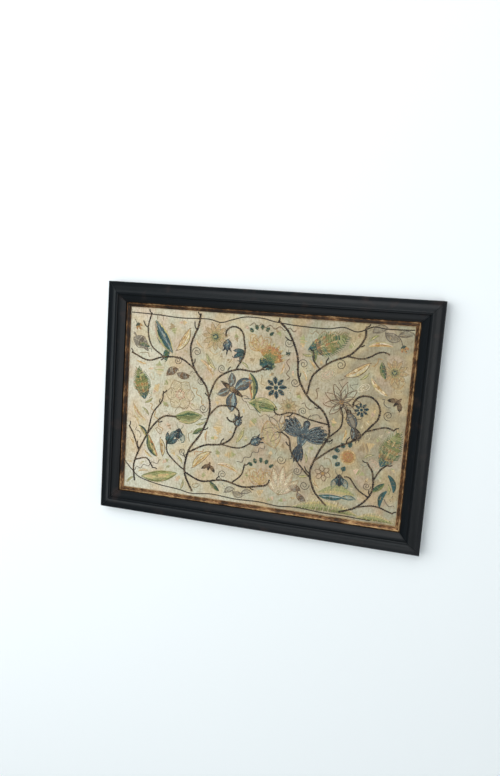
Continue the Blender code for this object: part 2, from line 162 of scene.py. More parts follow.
SHARP_ANGLE = 38
SIDES = (("bottom", FRAME_WIDTH, 0), ("right", FRAME_HEIGHT, 90), ("top", FRAME_WIDTH, 180),
         ("left", FRAME_HEIGHT, 270))


def arc(centre, radius, start, end, steps):
    """Points on a round stretch of a section, by its start and end angles in degrees."""
    angles = np.radians(np.linspace(start, end, steps + 1))
    return [(centre[0] + radius * math.cos(a), centre[1] + radius * math.sin(a)) for a in angles]


def hollow(start, end, depth, steps):
    """Points between two ends, sagging below the straight line at the middle, or above it if negative."""
    return [(start[0] + (end[0] - start[0]) * t, start[1] + (end[1] - start[1]) * t - depth * 4 * t * (1 - t))
            for t in np.linspace(0, 1, steps + 1)[1:-1]]


def moulding_section():
    shoulder_end = (SHOULDER_WIDTH, SHOULDER_RISE)
    ridge = arc((RIDGE_ACROSS, RIDGE_RISE - RIDGE_ROUND), RIDGE_ROUND, *RIDGE_ARC, 14)
    ovolo_start = (QUIRK_ACROSS + QUIRK_FLOOR, OVOLO_RISE)
    sight = arc((MOULDING_WIDTH - SIGHT_ROUND, SIGHT_RISE), SIGHT_ROUND, *SIGHT_ARC, 6)
    return ([(0, 0)] + arc((EDGE_ROUND, SHOULDER_RISE - EDGE_ROUND), EDGE_ROUND, 180, 90, 6) + [shoulder_end]
            + hollow(shoulder_end, ridge[0], COVE_SAG, 10) + ridge
            + [(QUIRK_ACROSS, QUIRK_RISE), (QUIRK_ACROSS + QUIRK_FLOOR, QUIRK_RISE), ovolo_start]
            + hollow(ovolo_start, sight[0], -OVOLO_BULGE, 12) + sight
            + [(MOULDING_WIDTH, REBATE_RISE), (REBATE_ACROSS, REBATE_RISE), (REBATE_ACROSS, 0)])


def mitred_runs(kind, section, material):
    """Four mitred lengths of a section, each with a UV map in metres along it and round its section."""
    count = len(section)
    sides = np.diff(np.array(section + section[:1]), axis=0)
    around = np.concatenate([[0], np.cumsum(np.linalg.norm(sides, axis=1))])
    for side, outer_length, turn in SIDES:
        distance = (FRAME_WIDTH + FRAME_HEIGHT - outer_length) / 2
        bm = bmesh.new()
        rings = []
        for k in range(RUN_STEPS + 1):
            share = 2 * k / RUN_STEPS - 1
            rings.append([bm.verts.new((share * (outer_length / 2 - GAP * math.sqrt(0.5) - across) * MM,
                                        (across - distance) * MM, up * MM)) for across, up in section])
        layer = bm.loops.layers.uv.new("along")
        for ring, after in zip(rings, rings[1:]):
            for j in range(count):
                face = bm.faces.new((ring[j], ring[(j + 1) % count], after[(j + 1) % count], after[j]))
                for loop, v in zip(face.loops, (around[j], around[j + 1], around[j + 1], around[j])):
                    loop[layer].uv = (loop.vert.co.x, v * MM)
        for ring in (rings[0], rings[-1]):
            for loop in bm.faces.new(ring).loops:
                loop[layer].uv = (loop.vert.co.y, loop.vert.co.z)
        bmesh.ops.recalc_face_normals(bm, faces=bm.faces)
        bm.transform(Matrix.Rotation(math.radians(turn), 4, "Z"))
        mesh = bpy.data.meshes.new(f"{kind}_run_{side}")
        bm.to_mesh(mesh)
        bm.free()
        piece = finish_piece(mesh.name, mesh, material)
        mesh.set_sharp_from_angle(angle=math.radians(SHARP_ANGLE))
        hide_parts(f"{kind}_{side}")


def ebonised_wood():
    """Fine-grained wood stained black, waxed to a satin, with brown wood showing thinly in scattered rubbed
    patches.
    """
    made, tree, shader = blank_material("ebonised_wood")
    along = node(tree, "UVMap", {"uv_map": "along"}).outputs["UV"]
    stretched = node(tree, "Mapping", inputs={"Vector": along, "Scale": (30, 900, 1)}).outputs["Vector"]
    grain = noise(tree, stretched, 1, 5)["Fac"]
    rubs = noise(tree, node(tree, "TexCoord").outputs["Object"], 45, 6)["Fac"]
    black = ramp(tree, grain, (0.3, "#0b0f12"), (0.75, "#12171a"))
    brown = ramp(tree, rubs, (0.6, "#000000"), (0.78, "#ffffff"))
    feed(tree, shader, {
        "Base Color": mixed(tree, brown, black, linear("#2a2220")), "Specular IOR Level": 0.16,
        "Roughness": between(tree, rubs, 0.3, 0.44), "Normal": bump(tree, grain, 0.03, 0.0001)})
    return made


mitred_runs("moulding", moulding_section(), ebonised_wood())

# The slip: a narrow wood fillet covered in gesso and leaf, tarnished brown, with a painted highlight of
# brighter gold along its bead's crown and its nose, and painted light brightening its bottom and right
# lengths.
# It lies in the rebate, under the moulding's lip and over the edge of the linen.
SLIP_OUTER = REBATE_ACROSS + GAP
SLIP_INNER = 31.8
SLIP_BACK = 8.2
SLIP_TOP = REBATE_RISE - GAP
SLIP_BEAD = 0.7
SLIP_SAG = 0.25
SLIP_NOSE_RISE = 9.2
SLIP_NOSE_BEVEL = (0.6, 0.2)
# How far round the section, from its back outer corner, the bead's crown and the nose lie: where the painted
# highlight lines run
SLIP_CROWN = 10.6
SLIP_NOSE = 16.2


def slip_section():
    bead_at = MOULDING_WIDTH + 2 * SLIP_BEAD
    slope_start = (bead_at + SLIP_BEAD, SLIP_TOP - SLIP_BEAD / 2)
    nose = (SLIP_INNER - SLIP_NOSE_BEVEL[0], SLIP_NOSE_RISE + SLIP_NOSE_BEVEL[1])
    return ([(SLIP_OUTER, SLIP_BACK), (SLIP_OUTER, SLIP_TOP), (MOULDING_WIDTH, SLIP_TOP)]
            + arc((bead_at, SLIP_TOP), SLIP_BEAD, 180, 0, 10) + [slope_start]
            + hollow(slope_start, nose, SLIP_SAG, 6)
            + [nose, (SLIP_INNER, SLIP_NOSE_RISE), (SLIP_INNER, SLIP_BACK)])


def maths(tree, operation, *values):
    return node(tree, "Math", {"operation": operation}, dict(enumerate(values))).outputs[0]


def tarnished_gilding():
    """Leaf over red-brown bole: burnished where it is whole, dull and dark where it has tarnished or worn.
    Painted highlight lines run along the bead's crown and the nose, and painted light brightens the bottom
    and right lengths.
    """
    made, tree, shader = blank_material("tarnished_gilding")
    along = node(tree, "UVMap", {"uv_map": "along"}).outputs["UV"]
    stretched = node(tree, "Mapping", inputs={"Vector": along, "Scale": (240, 1500, 1)}).outputs["Vector"]
    place = node(tree, "TexCoord").outputs["Object"]
    worn = maths(tree, "ADD", noise(tree, stretched, 1, 6)["Fac"], noise(tree, place, 60, 4)["Fac"])
    half = maths(tree, "MULTIPLY", worn, 0.5)
    round_it = node(tree, "SeparateXYZ", inputs={"Vector": along}).outputs["Y"]
    # Painted highlight: brighter gold along the bead's crown and the nose, where light would catch them.
    painted_highlight_lines = [maths(tree, "COMPARE", round_it, at * MM, SLIP_BEAD * MM) for at in (SLIP_CROWN, SLIP_NOSE)]
    where = node(tree, "SeparateXYZ", inputs={"Vector": place}).outputs
    # Painted light: the bottom and right lengths are made brighter and more golden, as if lit more.
    painted_light_bottom = between(tree, where["Y"], 0.09, 0, -0.118, -0.1)
    painted_light_right = between(tree, where["X"], 0, 0.06, 0.16, 0.18)
    # The real wear, plus the painted light on the bottom and right lengths.
    kept = maths(tree, "ADD", half, maths(tree, "MAXIMUM", painted_light_bottom, painted_light_right))
    # The gold left by wear, plus the painted highlight lines and the painted light.
    left = maths(tree, "MULTIPLY_ADD", maths(tree, "MAXIMUM", *painted_highlight_lines), 0.09, kept)
    colour = ramp(tree, left, (0.44, "#1e1813"), (0.54, "#3f2d1c"), (0.62, "#7c5533"), (0.72, "#c2a273"))
    feed(tree, shader, {
        "Base Color": colour, "Metallic": between(tree, left, 0.1, 0.7), "Specular IOR Level": 0.3,
        "Roughness": between(tree, left, 0.6, 0.36), "Normal": bump(tree, half, 0.5, 0.0004)})
    return made


mitred_runs("slip", slip_section(), tarnished_gilding())

# The ground: one piece of plain-woven linen, stretched behind the slip. The stitching draws it into low
# swells and small puckers. It is cream at its left and darker towards its right, in soft patches: partly tan,
# partly painted shade where the light falls off.
CLOTH_MARGIN = 21.5
CLOTH_THICKNESS = 1.2
CLOTH_TOP = SLIP_BACK - GAP
CLOTH_PITCH = 1.5
SWELL = 0.35
SWELL_LENGTHS = (86, 64)
SWELL_SHIFT = 0.8
PUCKER = 0.12
PUCKER_LENGTHS = (17, 13, 23)
HALF_X = FRAME_WIDTH / 2 - SLIP_INNER
HALF_Y = FRAME_HEIGHT / 2 - SLIP_INNER


def linen_rise(x, y):
    """The linen's face at points in mm: the low swells, and small puckers over them."""
    inside = np.clip(1 - (x / HALF_X) ** 2, 0, 1) * np.clip(1 - (y / HALF_Y) ** 2, 0, 1)
    wave = np.sin(math.tau * x / SWELL_LENGTHS[0] + SWELL_SHIFT) * np.cos(math.tau * y / SWELL_LENGTHS[1])
    first, second, third = (math.tau / length for length in PUCKER_LENGTHS)
    pucker = np.sin(first * x + 1.3 * np.sin(third * y)) * np.cos(second * y + 1.1 * np.sin(third * x))
    return CLOTH_TOP + np.sqrt(inside) * (SWELL * wave + PUCKER * pucker)


def mesh_of(name, points, quads, uvs):
    """A mesh from arrays of points in mm, of quads, and of a UV map's corners by its name."""
    mesh = bpy.data.meshes.new(name)
    mesh.vertices.add(len(points))
    mesh.vertices.foreach_set("co", (np.asarray(points, np.float32) * MM).ravel())
    mesh.loops.add(quads.size)
    mesh.loops.foreach_set("vertex_index", quads.astype(np.int32).ravel())
    mesh.polygons.add(len(quads))
    mesh.polygons.foreach_set("loop_start", np.arange(0, quads.size, 4, dtype=np.int32))
    for layer, corners in uvs.items():
        mesh.uv_layers.new(name=layer).data.foreach_set("uv", corners.astype(np.float32).ravel())
    mesh.update(calc_edges=True)
    mesh.validate()
    return mesh


def grid_quads(rows, columns):
    """The quads of a grid of points, rows by columns."""
    index = np.arange(rows * columns).reshape(rows, columns)
    return np.stack([index[:-1, :-1], index[:-1, 1:], index[1:, 1:], index[1:, :-1]], -1).reshape(-1, 4)


def old_linen():
    """Plain-weave linen, cream and tan in soft patches, darker towards the right (partly tan, partly painted
    shade), with the threads as fine relief.
    """
    made, tree, shader = blank_material("old_linen")
    place = node(tree, "TexCoord").outputs["Object"]
    clouds = noise(tree, place, 9, 4, 0.6)["Fac"]
    patches = node(tree, "SeparateColor", inputs={"Color": noise(tree, place, 38, 1.5)["Color"]}).outputs
    long = node(tree, "Mapping", inputs={"Vector": place, "Scale": (420, 150, 1)}).outputs["Vector"]
    streaks, specks = noise(tree, long, 1, 6, 0.7)["Fac"], noise(tree, place, 420, 5)["Fac"]
    across = node(tree, "SeparateXYZ", inputs={"Vector": place}).outputs["X"]
    # Soft clouds of tone, plus a ramp across that darkens the linen towards the right: partly tan and partly
    # painted shade where the light falls off.
    mottle_and_painted_shade = maths(tree, "ADD", clouds, between(tree, across, -0.14, 0.44, -0.18, 0.18))
    colour = ramp(tree, mottle_and_painted_shade, (0.2, "#dedbca"), (0.42, "#d1cbb4"), (0.62, "#beb499"), (0.85, "#a2987c"))
    for factor, tint in zip(patches, ("#d2b59c", "#bcc5ae", "#cfb47f")):
        colour = mixed(tree, ramp(tree, factor, (0.49, "#000000"), (0.62, "#a4a4a4")), colour, linear(tint))
    for factor, dark, share in ((streaks, "#bba98a", 0.45), (specks, "#a89a80", 0.3)):
        colour = mixed(tree, share, colour, ramp(tree, factor, (0.36, dark), (0.54, "#ffffff")), "MULTIPLY")
    threads = [node(tree, "TexWave", {"bands_direction": way},
                    {"Vector": place, "Scale": 310, "Distortion": 1.2, "Detail": 2}).outputs["Fac"]
               for way in ("X", "Y")]
    weave = maths(tree, "MULTIPLY", *threads)
    feed(tree, shader, {"Base Color": colour, "Roughness": 0.92, "Normal": bump(tree, weave, 0.35, 0.0003)})
    return made


def build_linen():
    half_x, half_y = FRAME_WIDTH / 2 - CLOTH_MARGIN, FRAME_HEIGHT / 2 - CLOTH_MARGIN
    columns, rows = int(2 * half_x / CLOTH_PITCH) + 1, int(2 * half_y / CLOTH_PITCH) + 1
    x, y = np.meshgrid(np.linspace(-1, 1, columns) * half_x, np.linspace(-1, 1, rows) * half_y)
    points = np.stack([x, y, linen_rise(x, y)], -1).reshape(-1, 3)
    mesh = mesh_of("linen_ground", points, grid_quads(rows, columns), {})
    ground = finish_piece("linen_ground", mesh, old_linen())
    body = ground.modifiers.new("thickness", "SOLIDIFY")
    body.thickness = CLOTH_THICKNESS * MM
    body.offset = -1
    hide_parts("embroidered_linen")


build_linen()

# The yarns: two-ply crewel wool and floss silk, once bright, now faded. Each yarn's stitches are one piece.
YARNS = {
    "bark": "#271d13", "umber": "#6c583c", "brown": "#74583b", "ochre": "#b58c4c", "straw": "#c9b87e",
    "orange": "#b27a48", "olive": "#7d804a", "green": "#4d6741", "forest": "#314a40", "teal": "#345b5a",
    "blue": "#4d6367", "slate": "#4e5a5e", "navy": "#22282e", "sky": "#93a29b", "peach": "#d0b193",
    "honey": "#cfb37f", "tan": "#a18a62", "grey": "#958d7b", "taupe": "#6d6252", "cream": "#dccfae",
    "sand": "#cbbb96", "moss": "#a3a36c",
}
STITCH_SINK = 0.15
SEWN_SHORT = 0.8
RING_PLACES = np.array([0.0, 0.2, 0.8, 1.0])
RING_BREADTHS = np.array([0.5, 1.0, 1.0, 0.5])
RING_RISES = np.array([0.1, 1.0, 1.0, 0.1])
RING_ANGLES = np.radians([180, 135, 90, 45, 0])
TONE_SPREAD = 0.48

chance = np.random.default_rng(17)
sewn = {yarn: [] for yarn in YARNS}


def sew(yarn, starts, ends, breadth, rise=None):
    """Adds straight stitches of a yarn, from starts to ends in mm, with their breadth and height."""
    starts, ends = np.atleast_2d(starts), np.atleast_2d(ends)
    size = np.broadcast_to(np.asarray(breadth, float), (len(starts),))
    high = np.broadcast_to(np.asarray(0.6 * size if rise is None else rise, float), (len(starts),))
    sewn[yarn].append(np.column_stack([starts, ends, size, high]))


def inside_sight(stitches):
    """The stitches that show inside the slip's edge, cut off where they reach it."""
    clear = np.array([HALF_X, HALF_Y] * 2) - SEWN_SHORT
    within = np.abs(stitches[:, :4]) < clear
    kept = stitches[within[:, :2].all(1) | within[:, 2:].all(1)]
    return np.column_stack([np.clip(kept[:, :4], -clear, clear), kept[:, 4:]])


def wool(yarn):
    """Plied wool: a fine twist across each stitch, a tone of its own for each, and a soft fuzz of light."""
    made, tree, shader = blank_material(f"{yarn}_wool")
    twist = node(tree, "UVMap", {"uv_map": "twist"}).outputs["UV"]
    ply = node(tree, "TexWave", {"bands_direction": "DIAGONAL"},
               {"Vector": twist, "Scale": 0.55, "Distortion": 0.6, "Detail": 2}).outputs["Fac"]
    tone = node(tree, "Attribute", {"attribute_name": "tone"}).outputs["Fac"]
    fading = noise(tree, node(tree, "TexCoord").outputs["Object"], 55, 4)["Fac"]
    faded = node(tree, "HueSaturation", inputs={
        "Saturation": between(tree, fading, 1.15, 0.8), "Value": tone, "Color": linear(YARNS[yarn])})
    colour = faded.outputs["Color"]
    shaded = mixed(tree, 0.35, colour, ramp(tree, ply, (0, "#6f6f6f"), (0.6, "#ffffff")), "MULTIPLY")
    feed(tree, shader, {"Base Color": shaded, "Roughness": 0.78, "Sheen Weight": 0.04, "Sheen Roughness": 0.5,
                        "Normal": bump(tree, ply, 0.5, 0.0002)})
    return made


def build_yarn(yarn):
    """One mesh of a yarn's stitches: each an arched strip of quads, its ends sunk in the linen."""
    stitches = inside_sight(np.concatenate(sewn[yarn]))
    count, rings, across = len(stitches), len(RING_PLACES), len(RING_ANGLES)
    start, end = stitches[:, None, 0:2], stitches[:, None, 2:4]
    spine = start + (end - start) * RING_PLACES[None, :, None]
    length = np.linalg.norm(end - start, axis=2)[:, 0]
    direction = (end - start)[:, 0] / np.maximum(length, 1e-6)[:, None]
    aside = np.stack([-direction[:, 1], direction[:, 0]], 1)
    offsets = np.cos(RING_ANGLES)[None, None, :] * (stitches[:, 4, None] * RING_BREADTHS / 2)[:, :, None]
    flat = spine[:, :, None, :] + offsets[..., None] * aside[:, None, None, :]
    lift = np.sin(RING_ANGLES)[None, None, :] * (stitches[:, 5, None] * RING_RISES)[:, :, None] - STITCH_SINK
    high = linen_rise(flat[..., 0], flat[..., 1]) + lift
    points = np.concatenate([flat, high[..., None]], -1).reshape(-1, 3)
    one = grid_quads(rings, across)[:, ::-1]
    quads = (one[None] + (np.arange(count) * rings * across)[:, None, None]).reshape(-1, 4)
    grid = np.stack(np.meshgrid(RING_PLACES, np.linspace(0, 1, across), indexing="ij"), -1)
    twist = (grid * np.stack([length, np.ones(count)], 1)[:, None, None]).reshape(-1, 2)[quads.ravel()]
    cells_wide = math.ceil(math.sqrt(count))
    cell = np.stack([np.arange(count) % cells_wide, np.arange(count) // cells_wide], 1) / cells_wide
    baked = (cell[:, None, None] + (0.08 + 0.84 * grid) / cells_wide).reshape(-1, 2)[quads.ravel()]
    mesh = mesh_of(f"{yarn}_stitches", points, quads, {"twist": twist, "OFBake": baked})
    tone = mesh.attributes.new("tone", "FLOAT", "POINT")
    tones = 1 + TONE_SPREAD * (chance.random(count) - 0.5)
    tone.data.foreach_set("value", np.repeat(tones, rings * across).astype(np.float32))
    finish_piece(mesh.name, mesh, wool(yarn))


# The stems: brown wool in plaited rows, two stitches to a link, along routes that curl at their tips.
Stem = namedtuple("Stem", "name breadth points curl", defaults=(None,))
STEMS = [Stem(*row) for row in (
    ("west_trunk", 3.1, [(-84, -117), (-96, -92), (-92, -62), (-76, -36), (-66, -6), (-72, 24), (-90, 48),
                         (-97, 76), (-88, 104), (-86, 118)]),
    ("west_limb", 2.6, [(-90, 48), (-110, 60), (-134, 60), (-156, 54), (-178, 62)]),
    ("west_limb_up", 2.3, [(-134, 60), (-152, 74), (-158, 96), (-154, 116)]),
    ("west_bough", 2.8, [(-69, 10), (-58, 38), (-34, 52), (-8, 52), (6, 60)]),
    ("west_bough_up", 2.6, [(-34, 52), (-24, 74), (-26, 94)], (190, 16, 7)),
    ("west_hook", 2.6, [(-67, -12), (-54, 2), (-38, 4)], (-235, 12, 7)),
    ("west_low", 2.8, [(-96, -92), (-72, -101), (-42, -96), (-14, -101), (12, -96)], (70, 12, 8)),
    ("west_low_twig", 2.3, [(-30, -98), (-18, -86), (-14, -72)]),
    ("west_arm", 2.8, [(-92, -64), (-70, -52), (-48, -48), (-34, -38), (-28, -22)]),
    ("west_arm_tip", 2.3, [(-48, -48), (-24, -50), (-8, -42)]),
    ("west_twig", 2.3, [(-96, -90), (-110, -80), (-122, -68), (-124, -54)]),
    ("corner_trunk", 2.8, [(-168, -114), (-170, -90), (-160, -62), (-146, -36), (-130, -20), (-112, -18)]),
    ("corner_arm", 2.3, [(-169, -84), (-152, -80), (-142, -92)]),
    ("corner_rise", 2.3, [(-152, -46), (-146, -18), (-134, 0), (-132, 12)]),
    ("corner_side", 2.3, [(-164, -70), (-172, -50), (-179, -38)]),
    ("east_trunk", 3.1, [(96, -110), (80, -94), (72, -70), (80, -44), (92, -18), (84, 8), (62, 26), (48, 50),
                         (44, 78), (32, 104), (18, 118)]),
    ("east_limb", 2.8, [(76, -54), (98, -36), (126, -20), (146, 2)], (215, 22, 13)),
    ("east_limb_tip", 2.3, [(138, -9), (158, -2), (170, -4)]),
    ("east_bough", 2.8, [(60, 29), (66, 54), (86, 72), (110, 84), (124, 102), (126, 118)]),
    ("east_bough_arm", 2.3, [(106, 81), (126, 80), (142, 88)], (-60, 16, 10)),
    ("east_bough_twig", 2.3, [(74, 62), (66, 72), (64, 84)]),
    ("east_hand", 2.3, [(90, -6), (66, -2), (44, 4), (28, 0)], (-150, 7, 4)),
    ("east_reach", 2.6, [(72, -76), (58, -62), (46, -46), (42, -30), (32, -22)]),
    ("east_spur", 2.3, [(92, -22), (105, -8), (107, 6), (104, 16)]),
    ("far_trunk", 2.8, [(112, -116), (134, -106), (150, -86), (150, -62), (142, -48)]),
    ("far_arm", 2.3, [(134, -106), (156, -102), (178, -108)]),
    ("far_spur", 2.3, [(148, -92), (134, -84), (124, -72)], (60, 8, 6)),
    ("far_tip", 2.3, [(151, -70), (158, -56), (166, -48)]),
)]
LINK_PITCH = 2.4
LINK_DARKS = 0.62
PRONG_PITCH = 94
PRONG_LENGTH = 6
PRONG_BREADTH = 1.5
PRONG_LEANS = (0.95, 0.5)


def smooth(points, step=0.5):
    """Points a step apart on a smooth curve through the ones given."""
    p = np.array(points, float)
    p = np.concatenate([[2 * p[0] - p[1]], p, [2 * p[-1] - p[-2]]])
    t = np.linspace(0, 1, 24, endpoint=False)[:, None]
    spans = [0.5 * (2 * b + (c - a) * t + (2 * a - 5 * b + 4 * c - d) * t ** 2
                    + (3 * b - a - 3 * c + d) * t ** 3) for a, b, c, d in zip(p, p[1:], p[2:], p[3:])]
    fine = np.concatenate(spans + [[p[-2]]])
    along = np.concatenate([[0], np.cumsum(np.linalg.norm(np.diff(fine, axis=0), axis=1))])
    places = np.linspace(0, along[-1], max(2, int(round(along[-1] / step)) + 1))
    return np.stack([np.interp(places, along, fine[:, k]) for k in (0, 1)], 1)


def heading_of(step):
    return math.atan2(step[1], step[0])


def curled(route, angle, first_radius, last_radius, step=0.5):
    """The route with its tip turned on by an angle, from one radius to another."""
    heading = heading_of(route[-1] - route[-2])
    side, total, turned, here, tip = math.copysign(1, angle), math.radians(abs(angle)), 0.0, route[-1], []
    while turned < total:
        radius = first_radius + (last_radius - first_radius) * turned / total
        heading += side * step / radius
        turned += step / radius
        here = here + step * np.array([math.cos(heading), math.sin(heading)])
        tip.append(here)
    return np.concatenate([route, tip])


def walk(route, pitch):
    """Points a pitch apart on a route, with the way along and the way aside at each."""
    steps = np.diff(route, axis=0)
    along = np.concatenate([[0], np.cumsum(np.linalg.norm(steps, axis=1))])
    places = np.arange(0, along[-1], pitch)
    points = np.stack([np.interp(places, along, route[:, k]) for k in (0, 1)], 1)
    ahead, behind = (np.stack([np.interp(places + shift * pitch, along, route[:, k]) for k in (0, 1)], 1)
                     for shift in (0.3, -0.3))
    forward = (ahead - behind) / np.maximum(np.linalg.norm(ahead - behind, axis=1), 1e-6)[:, None]
    return points, forward, np.stack([-forward[:, 1], forward[:, 0]], 1)


def plait(route, breadth):
    """Plaited rows along a route: a pair of stitches for each link, crossing in a V, in one of two wools."""
    points, forward, aside = walk(route, LINK_PITCH)
    for side in (-1, 1):
        wander = 1 + 0.16 * chance.standard_normal(len(points))[:, None]
        starts = points - side * 0.14 * breadth * aside
        ends = points + (LINK_PITCH * 1.2) * forward + side * 0.3 * breadth * wander * aside
        dark = chance.random(len(points)) < LINK_DARKS
        for yarn, chosen in (("bark", dark), ("umber", ~dark)):
            if chosen.any():
                sew(yarn, starts[chosen], ends[chosen], 0.66 * breadth, 0.42 * breadth)


def line(route, yarn, breadth=0.7, pitch=2.0):
    """A single line of stem stitch along a route: each stitch lies a little over the last."""
    points, forward, aside = walk(route, pitch)
    lean = 0.18 * breadth * aside
    sew(yarn, points - lean, points + 1.25 * pitch * forward + lean, breadth)


def prong(root, heading, side, length):
    """A short side twig from a place on a stem, bending back towards the stem's way."""
    ways = [np.array([math.cos(heading + side * a), math.sin(heading + side * a)]) for a in PRONG_LEANS]
    line(smooth([root, root + 0.5 * length * ways[0], root + 0.5 * length * (ways[0] + ways[1])]), "bark",
         PRONG_BREADTH, 1.6)


for stem in STEMS:
    path = smooth(stem.points)
    plait(curled(path, *stem.curl) if stem.curl else path, stem.breadth)
    for k, place in enumerate(range(PRONG_PITCH, len(path) - 8, PRONG_PITCH)):
        prong(path[place], heading_of(path[place + 1] - path[place]), (-1) ** k, 4 + 7 * chance.random())
    if not stem.curl:
        prong(path[-1], heading_of(path[-1] - path[-2]), chance.choice((-1, 1)), PRONG_LENGTH)

# The motifs: flowers, leaves, pods, birds and insects, each a few filled shapes and drawn lines in its yarns.
# Shapes are given in parts of the motif's size, pointing along its own X.
Motif = namedtuple("Motif", "kind x y size turn")
MOTIFS = [Motif(*row) for row in (
    ("wing", -148, 108, 50, -58), ("daisy", -64, 92, 36, 10), ("snail", -178, 82, 26, -24),
    ("caterpillar", -128, 36, 32, 12), ("carnation", 4, 58, 36, 66), ("tulip", -47, 90, 20, -92),
    ("beads", -4, 96, 34, 84), ("star", 20, 34, 30, 8), ("cone", 56, 84, 54, 24),
    ("cloud", 134, 112, 46, -4), ("daisy", 164, 66, 32, 30), ("star", 129, 17, 20, 12),
    ("cone", 158, -52, 50, 68), ("cone", -158, 0, 44, 106), ("leaf", -114, -18, 40, 8),
    ("rose", -108, 12, 40, 0), ("beetle", -108, -42, 32, 80), ("pod", -158, -106, 52, 12),
    ("sickle", -136, -76, 46, 116), ("moth", -62, -78, 20, 80), ("sickle", -16, 50, 50, -80),
    ("bird", 58, -30, 50, 76), ("leaf", 24, 6, 40, 172), ("butterfly", -40, 28, 36, -30),
    ("daisy", 38, 12, 22, 40), ("beads", 8, -76, 36, 92), ("marigold", 118, -44, 30, 20),
    ("beetle", 110, -76, 32, 96), ("fish", 86, -98, 48, 2), ("ribbon", 168, -60, 42, -86),
    ("perched", 122, -6, 34, 118), ("lily", 34, -104, 38, 84), ("tulip", -8, -42, 21, 30),
    ("tulip", -28, -22, 20, 84), ("feathers", 104, 24, 40, 80), ("twig_leaf", 148, 78, 24, -74),
    ("twig_leaf", 66, 70, 20, 96), ("twig_leaf", -154, 72, 18, 170), ("twig_leaf", -60, -100, 20, -40),
    ("twig_leaf", 150, -84, 22, 40), ("twig_leaf", -72, -30, 20, -150), ("moth", 172, 32, 22, 50),
    ("honeysuckle", 30, -20, 32, 134), ("caterpillar", 46, -94, 28, -24), ("pear", 12, -10, 36, -70),
    ("bell", -122, -56, 18, 60), ("bell", -24, 76, 17, -150), ("cloud", -38, -112, 34, 4),
    ("mound", 94, -118, 86, 0), ("mound", 156, -121, 50, 0), ("wave", -20, 112, 60, -4),
    ("wave", 58, 107, 46, 2), ("wave", -172, -98, 44, 22), ("wave", 20, -30, 34, 60),
    ("wave", -150, -4, 40, -62),
)]
# Thin coils beside the stems: each one's place, size and turn
TENDRILS = (
    (-95, -66, 11, 165), (-69, -2, 12, 190), (-75, 32, 11, 165), (-94, 70, 12, 5), (-50, 47, 11, 120),
    (-44, -94, 12, 80), (-112, 62, 11, 250), (72, -86, 12, 195), (88, -28, 10, 10), (50, 44, 12, 190),
    (47, 66, 12, 10), (38, 94, 12, 200), (98, 76, 12, 280), (56, 2, 11, 80), (60, -67, 11, 215),
    (149, -77, 10, 190),
)
MOTIFS += [Motif("tendril", *row) for row in TENDRILS]

